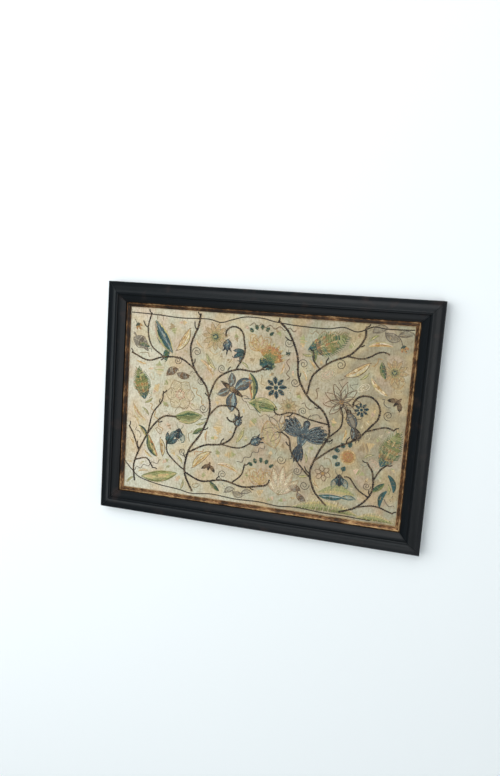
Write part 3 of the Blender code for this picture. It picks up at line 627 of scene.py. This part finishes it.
# A filled part: its shape, length, breadth, bend and petals, how its rows of stitches run, its yarns (from
# the middle out, from the base on or across it), its outline's yarn, its start and turn, and if it is on
# both sides
Fill = namedtuple("Fill", "kind shape length breadth bend petals rows yarns edge x y turn mirrored",
                  defaults=("", 0, 0, 0, False))
FILLS = [Fill(*row) for row in (
    ("wing", "leaf", 1, 0.34, 14, 0, "stripe", "peach moss forest teal blue sky blue teal straw"),
    ("wing", "leaf", 0.36, 0.15, 70, 0, "out", "green teal", "forest", 0.84, 0, -46),
    ("daisy", "rosette", 1, 0.5, 0, 11, "open", "ochre straw", "tan"),
    ("daisy", "disc", 0.4, 0.4, 0, 0, "out", "moss forest olive moss"),
    ("snail", "leaf", 0.84, 0.62, 0, 0, "along", "grey taupe grey", "taupe"),
    ("snail", "leaf", 0.42, 0.2, 30, 0, "out", "grey taupe", "", 0.66, -0.04, -24),
    ("snail", "leaf", 0.3, 0.14, 0, 0, "out", "grey", "", 0.1, 0.14, 150),
    ("caterpillar", "leaf", 0.56, 0.3, -50, 0, "along", "brown taupe grey brown taupe", "brown", 0, 0, 20),
    ("caterpillar", "leaf", 0.56, 0.26, 50, 0, "along", "grey brown taupe grey brown", "brown", 0.46, 0.04,
     -18),
    ("cloud", "leaf", 0.4, 0.2, -60, 0, "open", "grey taupe", "taupe", 0, 0, 24),
    ("cloud", "leaf", 0.42, 0.22, 50, 0, "open", "taupe grey", "taupe", 0.32, 0.04, -14),
    ("cloud", "leaf", 0.4, 0.16, -50, 0, "open", "grey taupe", "taupe", 0.66, 0, 14),
    ("carnation", "fan", 0.72, 0.18, 112, 8, "along", "green olive ochre orange straw", "", 0.26),
    ("carnation", "fan", 0.46, 0.24, 104, 6, "along", "teal forest forest olive"),
    ("cone", "leaf", 1, 0.46, 10, 0, "along", "teal forest green olive green moss olive"),
    ("cone", "scales", 0.72, 0.34, 10, 6, "out", "olive ochre straw orange olive honey"),
    ("star", "rosette", 1, 0.5, 0, 8, "out", "navy teal slate"),
    ("star", "disc", 0.2, 0.2, 0, 0, "out", "navy teal"),
    ("sickle", "leaf", 0.7, 0.24, -52, 0, "stripe", "orange straw olive forest"),
    ("sickle", "leaf", 0.48, 0.14, 62, 0, "stripe", "forest olive straw", "", 0.6, 0.1, 12),
    ("leaf", "leaf", 0.95, 0.42, 24, 0, "stripe", "straw moss olive olive green moss", "olive"),
    ("rose", "rosette", 1, 0.72, 0, 6, "open", "sand cream", "tan"),
    ("rose", "disc", 0.34, 0.34, 0, 0, "out", "cream peach"),
    ("pod", "leaf", 1, 0.28, 20, 0, "stripe", "olive moss straw honey moss olive", "olive"),
    ("beetle", "leaf", 0.44, 0.22, 40, 0, "open", "sky teal", "teal", 0.1, 0.06, 150, True),
    ("beetle", "leaf", 0.46, 0.34, 0, 0, "out", "navy navy", "navy", -0.2),
    ("bird", "fan", 0.62, 0.15, 46, 5, "out", "navy slate sky", "navy", 0.1, 0.04, 62),
    ("bird", "fan", 0.62, 0.15, 46, 5, "out", "navy slate sky", "navy", 0.1, -0.04, -62),
    ("bird", "fan", 0.52, 0.1, 34, 4, "out", "slate navy", "navy", -0.1, 0, 184),
    ("bird", "leaf", 0.66, 0.26, 0, 0, "out", "slate blue sky", "navy", -0.2),
    ("bird", "disc", 0.2, 0.18, 0, 0, "out", "sky slate navy", "", 0.44),
    ("perched", "fan", 0.56, 0.14, 36, 4, "out", "taupe bark", "bark", 0, 0, 170),
    ("perched", "leaf", 0.66, 0.34, 20, 0, "out", "grey taupe slate", "bark", -0.06),
    ("perched", "leaf", 0.44, 0.16, -24, 0, "stripe", "slate taupe sky", "bark", 0.04, 0.06, 160),
    ("perched", "disc", 0.22, 0.2, 0, 0, "out", "taupe bark", "", 0.6, -0.04),
    ("butterfly", "leaf", 0.7, 0.4, -30, 0, "stripe", "slate taupe sky slate", "navy", 0.2, 0.06, 62, True),
    ("butterfly", "leaf", 0.5, 0.26, 30, 0, "stripe", "taupe sky taupe", "slate", 0, 0.04, 120, True),
    ("butterfly", "leaf", 0.96, 0.2, 0, 0, "along", "bark brown tan brown bark brown", "bark", -0.4),
    ("marigold", "disc", 0.66, 0.66, 0, 0, "out", "orange ochre orange ochre honey"),
    ("marigold", "collar", 0.28, 0.2, 170, 6, "out", "forest teal", "", 0, 0, 150),
    ("fish", "hill", 1, 0.24, 0, 0, "out", "straw moss moss", "", 0.45, 0.08),
    ("fish", "leaf", 0.62, 0.14, 20, 0, "stripe", "teal forest sky teal", "teal"),
    ("fish", "leaf", 0.34, 0.12, -30, 0, "open", "sky teal", "teal", 0.6),
    ("ribbon", "leaf", 0.56, 0.16, -70, 0, "stripe", "teal teal forest", "", 0, 0, 18),
    ("ribbon", "leaf", 0.56, 0.16, 70, 0, "stripe", "forest teal teal", "", 0.48, 0, -22),
    ("lily", "fan", 1, 0.26, 84, 5, "out", "cream sand peach", "tan"),
    ("lily", "fan", 0.44, 0.16, 60, 3, "along", "olive straw"),
    ("tulip", "leaf", 0.72, 0.56, 0, 0, "out", "sky blue slate navy", "navy"),
    ("tulip", "fan", 0.6, 0.14, 76, 3, "out", "navy", "", 0.42),
    ("bell", "fan", 1, 0.3, 64, 3, "along", "forest teal blue", "navy"),
    ("beads", "collar", 0.22, 0.15, 100, 5, "out", "forest green", "", -0.12),
    ("beads", "fan", 0.56, 0.24, 120, 5, "open", "straw peach", "ochre", -0.5),
    ("feathers", "fan", 0.62, 0.2, 300, 9, "none", "", "brown"),
    ("feathers", "fan", 0.4, 0.14, 300, 7, "none", "", "taupe"),
    ("feathers", "disc", 0.14, 0.14, 0, 0, "out", "ochre"),
    ("honeysuckle", "fan", 0.72, 0.22, 200, 5, "none", "", "taupe"),
    ("honeysuckle", "fan", 0.4, 0.2, 150, 4, "open", "cream straw", "tan"),
    ("pear", "leaf", 1, 0.72, 0, 0, "open", "straw peach straw tan", "ochre"),
    ("twig_leaf", "leaf", 0.9, 0.34, 20, 0, "stripe", "olive green forest"),
    ("moth", "leaf", 0.62, 0.3, 20, 0, "along", "brown umber bark", "", 0, 0, 130, True),
    ("moth", "leaf", 0.66, 0.22, 0, 0, "along", "bark brown", "", -0.4),
    ("mound", "hill", 1, 0.2, 0, 0, "out", "olive moss straw sand"),
    ("sprig", "fan", 0.6, 0.24, 200, 5, "out", "forest", "", 0.4),
    ("bud", "fan", 0.9, 0.3, 60, 3, "along", "forest ochre orange"),
    ("husk", "leaf", 1, 0.28, 34, 0, "stripe", "straw cream sand honey ochre honey", "brown"),
    ("blade", "leaf", 1, 0.2, -50, 0, "stripe", "honey ochre honey peach cream straw"),
    ("frond", "leaf", 1, 0.2, 30, 0, "stripe", "straw moss sand", "olive"),
    ("floret", "rosette", 1, 0.5, 0, 6, "open", "peach sand", "brown", 0.5),
    ("floret", "disc", 0.2, 0.2, 0, 0, "out", "ochre", "", 0.5),
)]

# A drawn line: its yarn, its breadth in mm, the points that it passes, and if it is on both sides
Drawn = namedtuple("Drawn", "kind yarn breadth points mirrored", defaults=(False,))
DRAWN = [Drawn(*row) for row in (
    ("wing", "navy", 0.8, [(0.05, 0), (0.4, 0.05), (0.85, 0.02)]),
    ("wing", "brown", 0.7, [(0.02, 0.04), (-0.08, 0.12), (-0.02, 0.22), (0.1, 0.2)]),
    ("snail", "bark", 0.7, [(0.96, -0.1), (1.08, -0.04), (1.16, -0.12)]),
    ("caterpillar", "bark", 0.7, [(1, -0.06), (1.1, 0.02), (1.16, 0)]),
    ("beetle", "forest", 0.6, [(0.2, 0), (0.34, 0.12), (0.46, 0.14)], True),
    ("bird", "navy", 0.9, [(0.5, 0), (0.58, 0.02), (0.66, 0)]),
    ("butterfly", "bark", 0.7, [(0.5, 0.02), (0.66, 0.1), (0.8, 0.06)], True),
    ("perched", "bark", 0.9, [(0.68, -0.04), (0.8, -0.06)]),
    ("perched", "bark", 0.7, [(0.24, -0.2), (0.2, -0.36), (0.28, -0.38)]),
    ("leaf", "forest", 0.8, [(0, 0), (0.4, -0.02), (0.9, -0.12), (1.1, -0.1)]),
    ("leaf", "brown", 0.7, [(0, 0.16), (0.16, 0.3), (0.34, 0.24), (0.5, 0.34), (0.68, 0.2), (0.86, 0.2),
     (1.04, 0.02)]),
    ("daisy", "ochre", 0.7, [(-0.3, -0.44), (-0.1, -0.62), (0.14, -0.52), (0.1, -0.4)]),
    ("rose", "straw", 0.7, [(-0.24, 0), (-0.1, 0.2), (0.16, 0.16), (0.22, -0.06), (0.06, -0.22),
     (-0.12, -0.16)]),
    ("lily", "tan", 0.6, [(0.2, 0), (0.7, 0.1), (0.96, 0.3), (0.9, 0.42)], True),
    ("beads", "ochre", 0.8, [(-0.5, 0), (-0.3, 0.3), (-0.02, 0.4), (0.04, 0.2), (-0.12, 0.14),
     (-0.2, 0.24)], True),
    ("feathers", "bark", 0.6, [(0, 0), (0.2, 0.14), (0.42, 0.1), (0.6, 0.24), (0.7, 0.14)]),
    ("feathers", "bark", 0.6, [(0, 0), (0.2, -0.1), (0.44, -0.24), (0.56, -0.14), (0.66, -0.3)]),
    ("honeysuckle", "taupe", 0.6, [(0, 0), (0.3, 0.1), (0.6, 0.36), (0.76, 0.3)]),
    ("honeysuckle", "tan", 0.6, [(0, 0), (0.3, -0.1), (0.6, -0.3), (0.8, -0.16)]),
    ("pear", "brown", 0.7, [(0.96, 0), (1.1, 0.06), (1.2, -0.02)]),
    ("husk", "olive", 0.6, [(0.04, 0), (0.3, 0.02), (0.6, -0.02), (0.94, 0)]),
    ("sprig", "bark", 0.8, [(-0.2, 0), (0.1, 0.04), (0.5, 0)]),
    ("bud", "bark", 0.8, [(-0.5, 0.1), (-0.2, 0.04), (0.04, 0)]),
)]
SPIRAL_TURNS = 1.6
TENDRIL_BREADTH = 0.8
FREE_PITCH = 1.6
WHORL_ASPECT = 0.58
WHORL_PITCH = 1.7
WHORL_BREADTH = 1.0
WHORL_STITCH = 1.8
WHORL_YARNS = ("sand", "peach", "cream", "straw", "honey", "sand", "straw", "tan")
PATCH_PITCH = 1.0
PATCH_ASPECT = 0.6
PATCH_RISE = 0.35
PATCH_YARNS = ("sand", "peach", "tan", "moss", "honey")
WAVE_LENGTH = 11
WAVE_SWING = 1.7
WAVE_BREADTH = 1.0
WAVE_POINTS = 90
WAVE_YARNS = ("tan", "orange", "ochre", "brown", "taupe")
SEED_BREADTH = 1.1
SEED_YARNS = ("bark", "teal", "ochre", "bark", "green")
# Small fillings for the open ground: a kind, its length and breadth in mm, and how often a place is tried
FILLINGS = (
    ("husk", 44, 13, 400), ("blade", 46, 10, 400), ("whorl", 34, 20, 300), ("husk", 34, 10, 500),
    ("patch", 22, 13, 200), ("frond", 40, 9, 600), ("whorl", 26, 15, 400), ("floret", 20, 20, 300),
    ("wave", 44, 5, 900), ("blade", 30, 8, 1400), ("tendril", 12, 12, 120), ("patch", 16, 10, 900),
    ("husk", 24, 8, 1300), ("whorl", 20, 12, 900), ("wave", 26, 5, 1300), ("floret", 13, 13, 300),
    ("bud", 12, 6, 60), ("frond", 22, 6, 1100), ("patch", 11, 7, 1500), ("whorl", 14, 8, 1300),
    ("tendril", 8, 8, 100), ("sprig", 8, 6, 50), ("wave", 14, 5, 1500), ("blade", 15, 4, 1800),
    ("patch", 7, 4.5, 1000), ("whorl", 9, 5, 900), ("frond", 11, 3, 1200), ("seeds", 7, 3, 150),
)
FILLING_GAP = 0.5

# The wavering lines of dark yarn along the top and bottom edges
EDGE_LINES = (
    ((-186, 116), (-150, 115), (-112, 113), (-76, 114), (-58, 111), (-44, 115), (-26, 120), (-4, 120),
     (12, 117), (40, 114), (78, 113), (98, 116), (116, 112), (134, 119), (148, 118), (164, 118), (186, 119)),
    ((-186, -85), (-172, -99), (-160, -108), (-134, -114), (-104, -117), (-84, -120), (-56, -117),
     (-24, -119), (8, -118), (34, -120), (58, -118), (92, -120), (120, -120), (150, -121)),
)
EDGE_LINE_BREADTH = 1.4

FLOSS = 0.9
ROW_PITCH = 0.8
ROW_SLANT = 0.16
EDGE_BREADTH = 0.95
RAGGED = 0.5
STRAYS = 0.18
FADED = ("tan",)
ROSETTE_HOLE = 0.12
ROSETTE_CLOSENESS = 3.2
COLLAR_RADIUS = 0.4
OVERLAP = 0.07


def turned(points, degrees):
    """Points turned about the origin."""
    a = math.radians(degrees)
    return points @ np.array([[math.cos(a), math.sin(a)], [-math.sin(a), math.cos(a)]])


def leaf_point(fill, u, v):
    """A point in a leaf, by its part of the way along the spine and out from it to either edge."""
    bend = math.radians(fill.bend)
    angle = bend * (u - 0.5)
    half = fill.breadth / 2 * np.sin(math.pi * np.clip(u, 0, 1)) ** 0.8
    spine = np.stack([fill.length * u, -fill.length * bend / 2 * u * (1 - u)], -1)
    return spine + (v * half)[..., None] * np.stack([-np.sin(angle), np.cos(angle)], -1)


def on_cloth(motif, points):
    """Points in mm from a motif's base, along and across it, as places on the linen."""
    return turned(points, motif.turn) + (motif.x, motif.y)


def placed(motif, fill, points):
    """Points of a part, in parts of the motif's size, as places on the linen in mm."""
    return on_cloth(motif, (turned(points, fill.turn) + (fill.x, fill.y)) * motif.size)


def sew_part(motif, fill, yarn, starts, ends, breadth=FLOSS):
    """Stitches of a part that are long enough to show; some are in another of its yarns or a faded one."""
    a, b = placed(motif, fill, starts), placed(motif, fill, ends)
    long_enough = np.linalg.norm(b - a, axis=1) > 0.5 * breadth
    a, b = a[long_enough], b[long_enough]
    others = fill.yarns.split() + list(FADED)
    pick = np.where(chance.random(len(a)) < STRAYS, chance.integers(len(others), size=len(a)), -1)
    for k, other in enumerate([yarn] + others, start=-1):
        if (pick == k).any():
            sew(other, a[pick == k], b[pick == k], breadth)


def picked(places, yarns):
    """The yarn's number at each place, kept within those there are."""
    return np.clip(places, 0, len(yarns) - 0.01).astype(int)


def sew_sides(motif, fill, yarns, openness=1.0):
    """Rows of satin stitch from the spine out to each edge, leaning forward, their yarns meeting unevenly."""
    rows = max(4, int(fill.length * motif.size / ROW_PITCH / openness))
    u = (np.arange(rows) + 0.5) / rows
    edge_u = np.clip(u + ROW_SLANT * (1 - u), 0, 1)
    bands = len(yarns) if fill.rows != "along" else 1
    for side in (-1, 1):
        cuts = np.arange(bands + 1)[None] / bands + 0.16 * (chance.random((rows, bands + 1)) - 0.5)
        cuts = np.sort(cuts, axis=1)
        cuts[:, 0], cuts[:, -1] = -OVERLAP, 1 + RAGGED * (chance.random(rows) - 0.6)
        for band in range(bands):
            low, high = cuts[:, band], np.minimum(cuts[:, band + 1] + OVERLAP, cuts[:, -1])
            starts = leaf_point(fill, u + (edge_u - u) * np.maximum(low, 0), side * low)
            ends = leaf_point(fill, u + (edge_u - u) * high, side * high)
            if fill.rows != "along":
                sew_part(motif, fill, yarns[band], starts, ends)
                continue
            pick = picked(u * len(yarns) + 0.7 * (chance.random(rows) - 0.5), yarns)
            for k, yarn in enumerate(yarns):
                sew_part(motif, fill, yarn, starts[pick == k], ends[pick == k])


def sew_stripes(motif, fill, yarns):
    """Rows that run the length of a leaf, side by side, each in its own yarn."""
    lanes = max(len(yarns), int(round(fill.breadth * motif.size / FLOSS)))
    steps = max(3, int(fill.length * motif.size / 4))
    for lane in range(lanes):
        v = 2 * (lane + 0.5) / lanes - 1
        u = (np.arange(steps + 1) + 0.35 * (chance.random(steps + 1) - 0.5)) / steps
        u = np.clip(u, 0.02, 0.98)
        across = np.full(steps, v)
        starts = leaf_point(fill, u[:-1], across)
        ends = leaf_point(fill, np.minimum(u[1:] + 0.03, 1), across)
        pick = picked((lane + chance.random(steps) * 2 - 0.5) / lanes * len(yarns), yarns)
        for k, yarn in enumerate(yarns):
            sew_part(motif, fill, yarn, starts[pick == k], ends[pick == k], FLOSS * 1.1)


def outline(motif, fill):
    u = np.linspace(0, 1, 40)
    return placed(motif, fill, np.concatenate([leaf_point(fill, u, np.ones(40)),
                                               leaf_point(fill, u[::-1], -np.ones(40))]))


def fill_leaf(motif, fill):
    """A pointed shape on a bent spine, filled by rows and drawn round."""
    yarns = fill.yarns.split()
    if fill.rows == "stripe":
        sew_stripes(motif, fill, yarns)
    elif fill.rows != "none":
        sew_sides(motif, fill, yarns, openness=1.9 if fill.rows == "open" else 1.0)
    if fill.edge:
        line(outline(motif, fill), fill.edge, EDGE_BREADTH)


def as_leaf(fill, start, turn, length, breadth):
    """A small leaf that belongs to a larger shape."""
    x, y = turned(np.array(start, float), fill.turn)
    return fill._replace(shape="leaf", x=fill.x + x, y=fill.y + y, turn=fill.turn + turn, bend=0,
                         length=length, breadth=breadth)


def fill_ring(motif, fill, angles, radius, length, breadth):
    """Small leaves that point out from a ring, at the angles given."""
    for angle in angles:
        start = radius * math.cos(math.radians(angle)), radius * math.sin(math.radians(angle))
        fill_leaf(motif, as_leaf(fill, start, angle, length, breadth))


def fill_rosette(motif, fill):
    """Petals all round a middle."""
    angles = [360 * k / fill.petals for k in range(fill.petals)]
    fill_ring(motif, fill, angles, ROSETTE_HOLE, fill.length / 2 - ROSETTE_HOLE,
              fill.breadth * ROSETTE_CLOSENESS / fill.petals)


def fill_fan(motif, fill):
    """Petals spread from one point, through an angle."""
    for k in range(fill.petals):
        share = k / (fill.petals - 1) - 0.5
        petal = as_leaf(fill, (0, 0), fill.bend * share, fill.length * (1 - 0.3 * abs(share)), fill.breadth)
        fill_leaf(motif, petal._replace(bend=-24 * share))


def fill_collar(motif, fill):
    """Small leaves in an arc round a flower, pointing out."""
    angles = [fill.bend * (k / (fill.petals - 1) - 0.5) for k in range(fill.petals)]
    fill_ring(motif, fill, angles, COLLAR_RADIUS, fill.length, fill.breadth)


def fill_scales(motif, fill):
    """A cone's face: overlapping scales in rows, each row in its own yarn, and spines along both edges."""
    yarns = fill.yarns.split()
    for row in range(fill.petals):
        u = 0.16 + 0.8 * row / fill.petals
        count = max(1, round(5 * math.sin(math.pi * u)))
        for k in range(count):
            v = 0.0 if count == 1 else 1.5 * (k / (count - 1) - 0.5)
            root = leaf_point(fill, np.array([u]), np.array([v]))[0]
            scale = as_leaf(fill, root, 30 * v, 0.16, 0.11)
            sew_sides(motif, scale, [yarns[row % len(yarns)], yarns[(row + 2) % len(yarns)]])
    whole = fill._replace(length=1.0, breadth=fill.breadth * 1.3)
    u = np.linspace(0.3, 0.97, 15)
    for side in (-1, 1):
        roots = leaf_point(whole, u, np.full(15, side * 0.8))
        tips = leaf_point(whole, u + 0.09, np.full(15, side * 1.0)) + side * np.array([[0.0, 0.07]])
        sew_part(motif, whole, "olive" if side > 0 else "green", roots, tips)


def fill_disc(motif, fill):
    """Rings of stitches that point out from the middle."""
    yarns = fill.yarns.split()
    for k, yarn in enumerate(yarns):
        low, high = k / len(yarns) / 2, (k + 1.1) / len(yarns) / 2
        count = max(8, int(math.tau * high * fill.length * motif.size / FLOSS))
        a = (np.arange(count) + 0.5 * (k % 2)) / count * math.tau
        way = np.stack([np.cos(a) * fill.length, np.sin(a) * fill.breadth], 1)
        sew_part(motif, fill, yarn, way * low, way * high)


def fill_hill(motif, fill):
    """Upright rows under a low arch, in bands of yarn."""
    yarns = fill.yarns.split()
    count = int(fill.length * motif.size / ROW_PITCH)
    u = (np.arange(count) + 0.5) / count
    top = fill.breadth * np.sin(math.pi * u)
    x = fill.length * (u - 0.5)
    for k, yarn in enumerate(yarns):
        uneven = 0.1 * (chance.random(count) - 0.5)
        low, high = top * (k / len(yarns) + uneven), top * ((k + 1.1) / len(yarns) + uneven)
        sew_part(motif, fill, yarn, np.stack([x, low], 1), np.stack([x + 0.01, high], 1))


def sew_tendril(motif):
    """A thin line that coils in on itself, at the middle of its length."""
    a = np.linspace(0, SPIRAL_TURNS * math.tau, 60)
    radius = motif.size / 2 * (1.1 - 0.95 * (a / a[-1]) ** 0.8)
    coil = np.stack([motif.size / 2 - radius * np.cos(a), radius * np.sin(a)], 1)
    line(on_cloth(motif, coil), "bark", TENDRIL_BREADTH, FREE_PITCH)


def sew_whorl(motif):
    """Uneven rings of pale yarn, one inside another."""
    first, second = math.tau * chance.random(2)
    a = np.linspace(0, math.tau, 48)
    uneven = 1 + 0.09 * np.sin(2 * a + first) + 0.07 * np.sin(3 * a + second)
    rings = max(1, int(motif.size * WHORL_ASPECT / 2 / WHORL_PITCH))
    tint = chance.integers(len(WHORL_YARNS))
    for k in range(rings):
        reach = motif.size / 2 * (1 - k / rings) * uneven
        ring = np.stack([reach * np.cos(a) + motif.size / 2, WHORL_ASPECT * reach * np.sin(a)], 1)
        yarn = WHORL_YARNS[(tint + k // 2) % len(WHORL_YARNS)]
        line(on_cloth(motif, ring), yarn, WHORL_BREADTH, WHORL_STITCH)


def sew_patch(motif):
    """An oval worked across in long and short rows of two pale yarns."""
    rows = int(motif.size / PATCH_PITCH)
    u = (np.arange(rows) + 0.5) / rows
    half = PATCH_ASPECT / 2 * motif.size * np.sin(math.pi * u) * (0.6 + 0.8 * chance.random((2, rows)))
    lows = on_cloth(motif, np.stack([motif.size * u, -half[0]], 1))
    highs = on_cloth(motif, np.stack([motif.size * u + 1, half[1]], 1))
    first = u + 0.4 * (chance.random(rows) - 0.5) < 0.5
    for yarn, chosen in zip(chance.choice(PATCH_YARNS, 2, replace=False), (first, ~first)):
        if chosen.any():
            sew(str(yarn), lows[chosen], highs[chosen], PATCH_PITCH * 1.1, PATCH_RISE)


def sew_wave(motif):
    """A line that wavers along its length."""
    t = np.linspace(0, 1, WAVE_POINTS)
    swing = WAVE_SWING * np.sin(math.tau * (motif.size * t / WAVE_LENGTH + chance.random()) + np.sin(5 * t))
    yarn = WAVE_YARNS[chance.integers(len(WAVE_YARNS))]
    line(on_cloth(motif, np.stack([motif.size * t, swing], 1)), yarn, WAVE_BREADTH, FREE_PITCH)


def sew_seeds(motif):
    """A few knots in a loose row, each a very short fat stitch."""
    count = len(SEED_YARNS)
    spots = on_cloth(motif, np.stack([np.linspace(0, motif.size, count), chance.random(count) * 3 - 1.5], 1))
    for spot, yarn in zip(spots, SEED_YARNS):
        sew(yarn, spot - (0.5, 0), spot + (0.5, 0), SEED_BREADTH)


FILLERS = {"leaf": fill_leaf, "rosette": fill_rosette, "fan": fill_fan, "collar": fill_collar,
           "scales": fill_scales, "disc": fill_disc, "hill": fill_hill}
FREEHAND = {"tendril": sew_tendril, "whorl": sew_whorl, "patch": sew_patch, "wave": sew_wave,
            "seeds": sew_seeds}


def work(motif):
    """Sews all of a motif: its filled parts, its lines and what is done freehand."""
    for fill in FILLS:
        if fill.kind == motif.kind:
            FILLERS[fill.shape](motif, fill)
            if fill.mirrored:
                FILLERS[fill.shape](motif, fill._replace(bend=-fill.bend, y=-fill.y, turn=-fill.turn))
    for drawn in DRAWN:
        if drawn.kind == motif.kind:
            for side in (1, -1) if drawn.mirrored else (1,):
                points = np.array(drawn.points) * (1, side)
                line(on_cloth(motif, smooth(points * motif.size)), drawn.yarn, drawn.breadth)
    if motif.kind in FREEHAND:
        FREEHAND[motif.kind](motif)


def cells(points):
    """The cells of the ground's chart, a mm apart, that points in mm fall in."""
    return tuple(np.clip((points + (HALF_X, HALF_Y)).astype(int), 0, np.array(ground_taken.shape) - 1).T)


def fill_ground():
    """Works small fillings wherever the ground is still open."""
    stitches = np.concatenate([rows for yarn in YARNS for rows in sewn[yarn]])
    for share in np.linspace(0, 1, 5):
        ground_taken[cells(stitches[:, :2] + share * (stitches[:, 2:4] - stitches[:, :2]))] = True
    for kind, length, breadth, tries in FILLINGS:
        along, across = np.meshgrid(np.arange(-FILLING_GAP, length + FILLING_GAP, 0.8),
                                    np.arange(-breadth / 2 - FILLING_GAP, breadth / 2 + FILLING_GAP, 0.8))
        patch = np.stack([along.ravel(), across.ravel()], 1)
        for _ in range(tries):
            start = (2 * chance.random(2) - 1) * (HALF_X, HALF_Y)
            turn = 360 * chance.random()
            spot = turned(patch, turn) + start
            inside = (np.abs(spot) < (HALF_X - 2, HALF_Y - 5)).all()
            if inside and not ground_taken[cells(spot)].any():
                ground_taken[cells(spot)] = True
                work(Motif(kind, *start, length, turn))


ground_taken = np.zeros((int(2 * HALF_X) + 1, int(2 * HALF_Y) + 1), bool)
for points in EDGE_LINES:
    line(smooth(points), "bark", EDGE_LINE_BREADTH, 2.6)
for motif in MOTIFS:
    work(motif)
fill_ground()

for yarn in YARNS:
    if sewn[yarn]:
        build_yarn(yarn)

# The floor that the panel lies on, and the soft light over it
FLOOR_SIZE = 8000
FLOOR_COLOUR = "#f3f9fa"
SKY_COLOUR = "#dfe8ef"
SKY_STRENGTH = 0.36
bpy.ops.mesh.primitive_plane_add(size=FLOOR_SIZE * MM)
floor = bpy.context.object
floor.name = "floor"
plaster, plaster_tree, plaster_shader = blank_material("floor")
feed(plaster_tree, plaster_shader, {"Base Color": linear(FLOOR_COLOUR), "Roughness": 0.8})
floor.data.materials.append(plaster)

Lamp = namedtuple("Lamp", "name place size watts lights_diffusely")
LAMPS = (
    Lamp("key", (-1100, 400, 1300), 1900, 30, True),
    Lamp("fill", (1000, -600, 1800), 1600, 7, True),
    Lamp("top", (0, 1400, 1300), 1400, 10, True),
    Lamp("card", (1500, 200, 900), 1500, 18, False),
    Lamp("front_card", (200, -1500, 900), 1500, 12, False),
    Lamp("back_card", (100, 1500, 900), 1500, 16, False),
)
for lamp in LAMPS:
    light = bpy.data.lights.new(lamp.name, "AREA")
    light.size = lamp.size * MM
    light.energy = lamp.watts
    shining = bpy.data.objects.new(lamp.name, light)
    shining.location = Vector(lamp.place) * MM
    shining.rotation_euler = (-Vector(lamp.place)).to_track_quat("-Z", "Y").to_euler()
    shining.visible_diffuse = lamp.lights_diffusely
    shining.visible_glossy = lamp.name != "key"
    bpy.context.scene.collection.objects.link(shining)

world = bpy.data.worlds.new("studio")
world.use_nodes = True
feed(world.node_tree, world.node_tree.nodes["Background"],
     {"Color": linear(SKY_COLOUR), "Strength": SKY_STRENGTH})
bpy.context.scene.world = world
bpy.context.scene.view_settings.view_transform = "Standard"

# The camera, where the photograph's was: above and to the right of the panel, turned a little
PHOTO_WIDTH, PHOTO_HEIGHT = 500, 776
FOCAL_PIXELS = 585
SENSOR = 36
CAMERA_PLACE = (163.3, 127.4, 731.3)
CAMERA_AIM = (-12.4, 30.9, 13)
CAMERA_ROLL = 4.0
lens = bpy.data.cameras.new("camera")
lens.sensor_width = SENSOR
lens.lens = FOCAL_PIXELS / max(PHOTO_WIDTH, PHOTO_HEIGHT) * SENSOR
lens.dof.use_dof = False
camera = bpy.data.objects.new("camera", lens)
forward = (Vector(CAMERA_AIM) - Vector(CAMERA_PLACE)).normalized()
right = forward.cross(Vector((0, 1, 0))).normalized()
level = Matrix((right, right.cross(forward), -forward)).transposed()
camera.matrix_world = (Matrix.Translation(Vector(CAMERA_PLACE) * MM)
                       @ (level @ Matrix.Rotation(math.radians(CAMERA_ROLL), 3, "Z")).to_4x4())
bpy.context.scene.collection.objects.link(camera)
bpy.context.scene.camera = camera
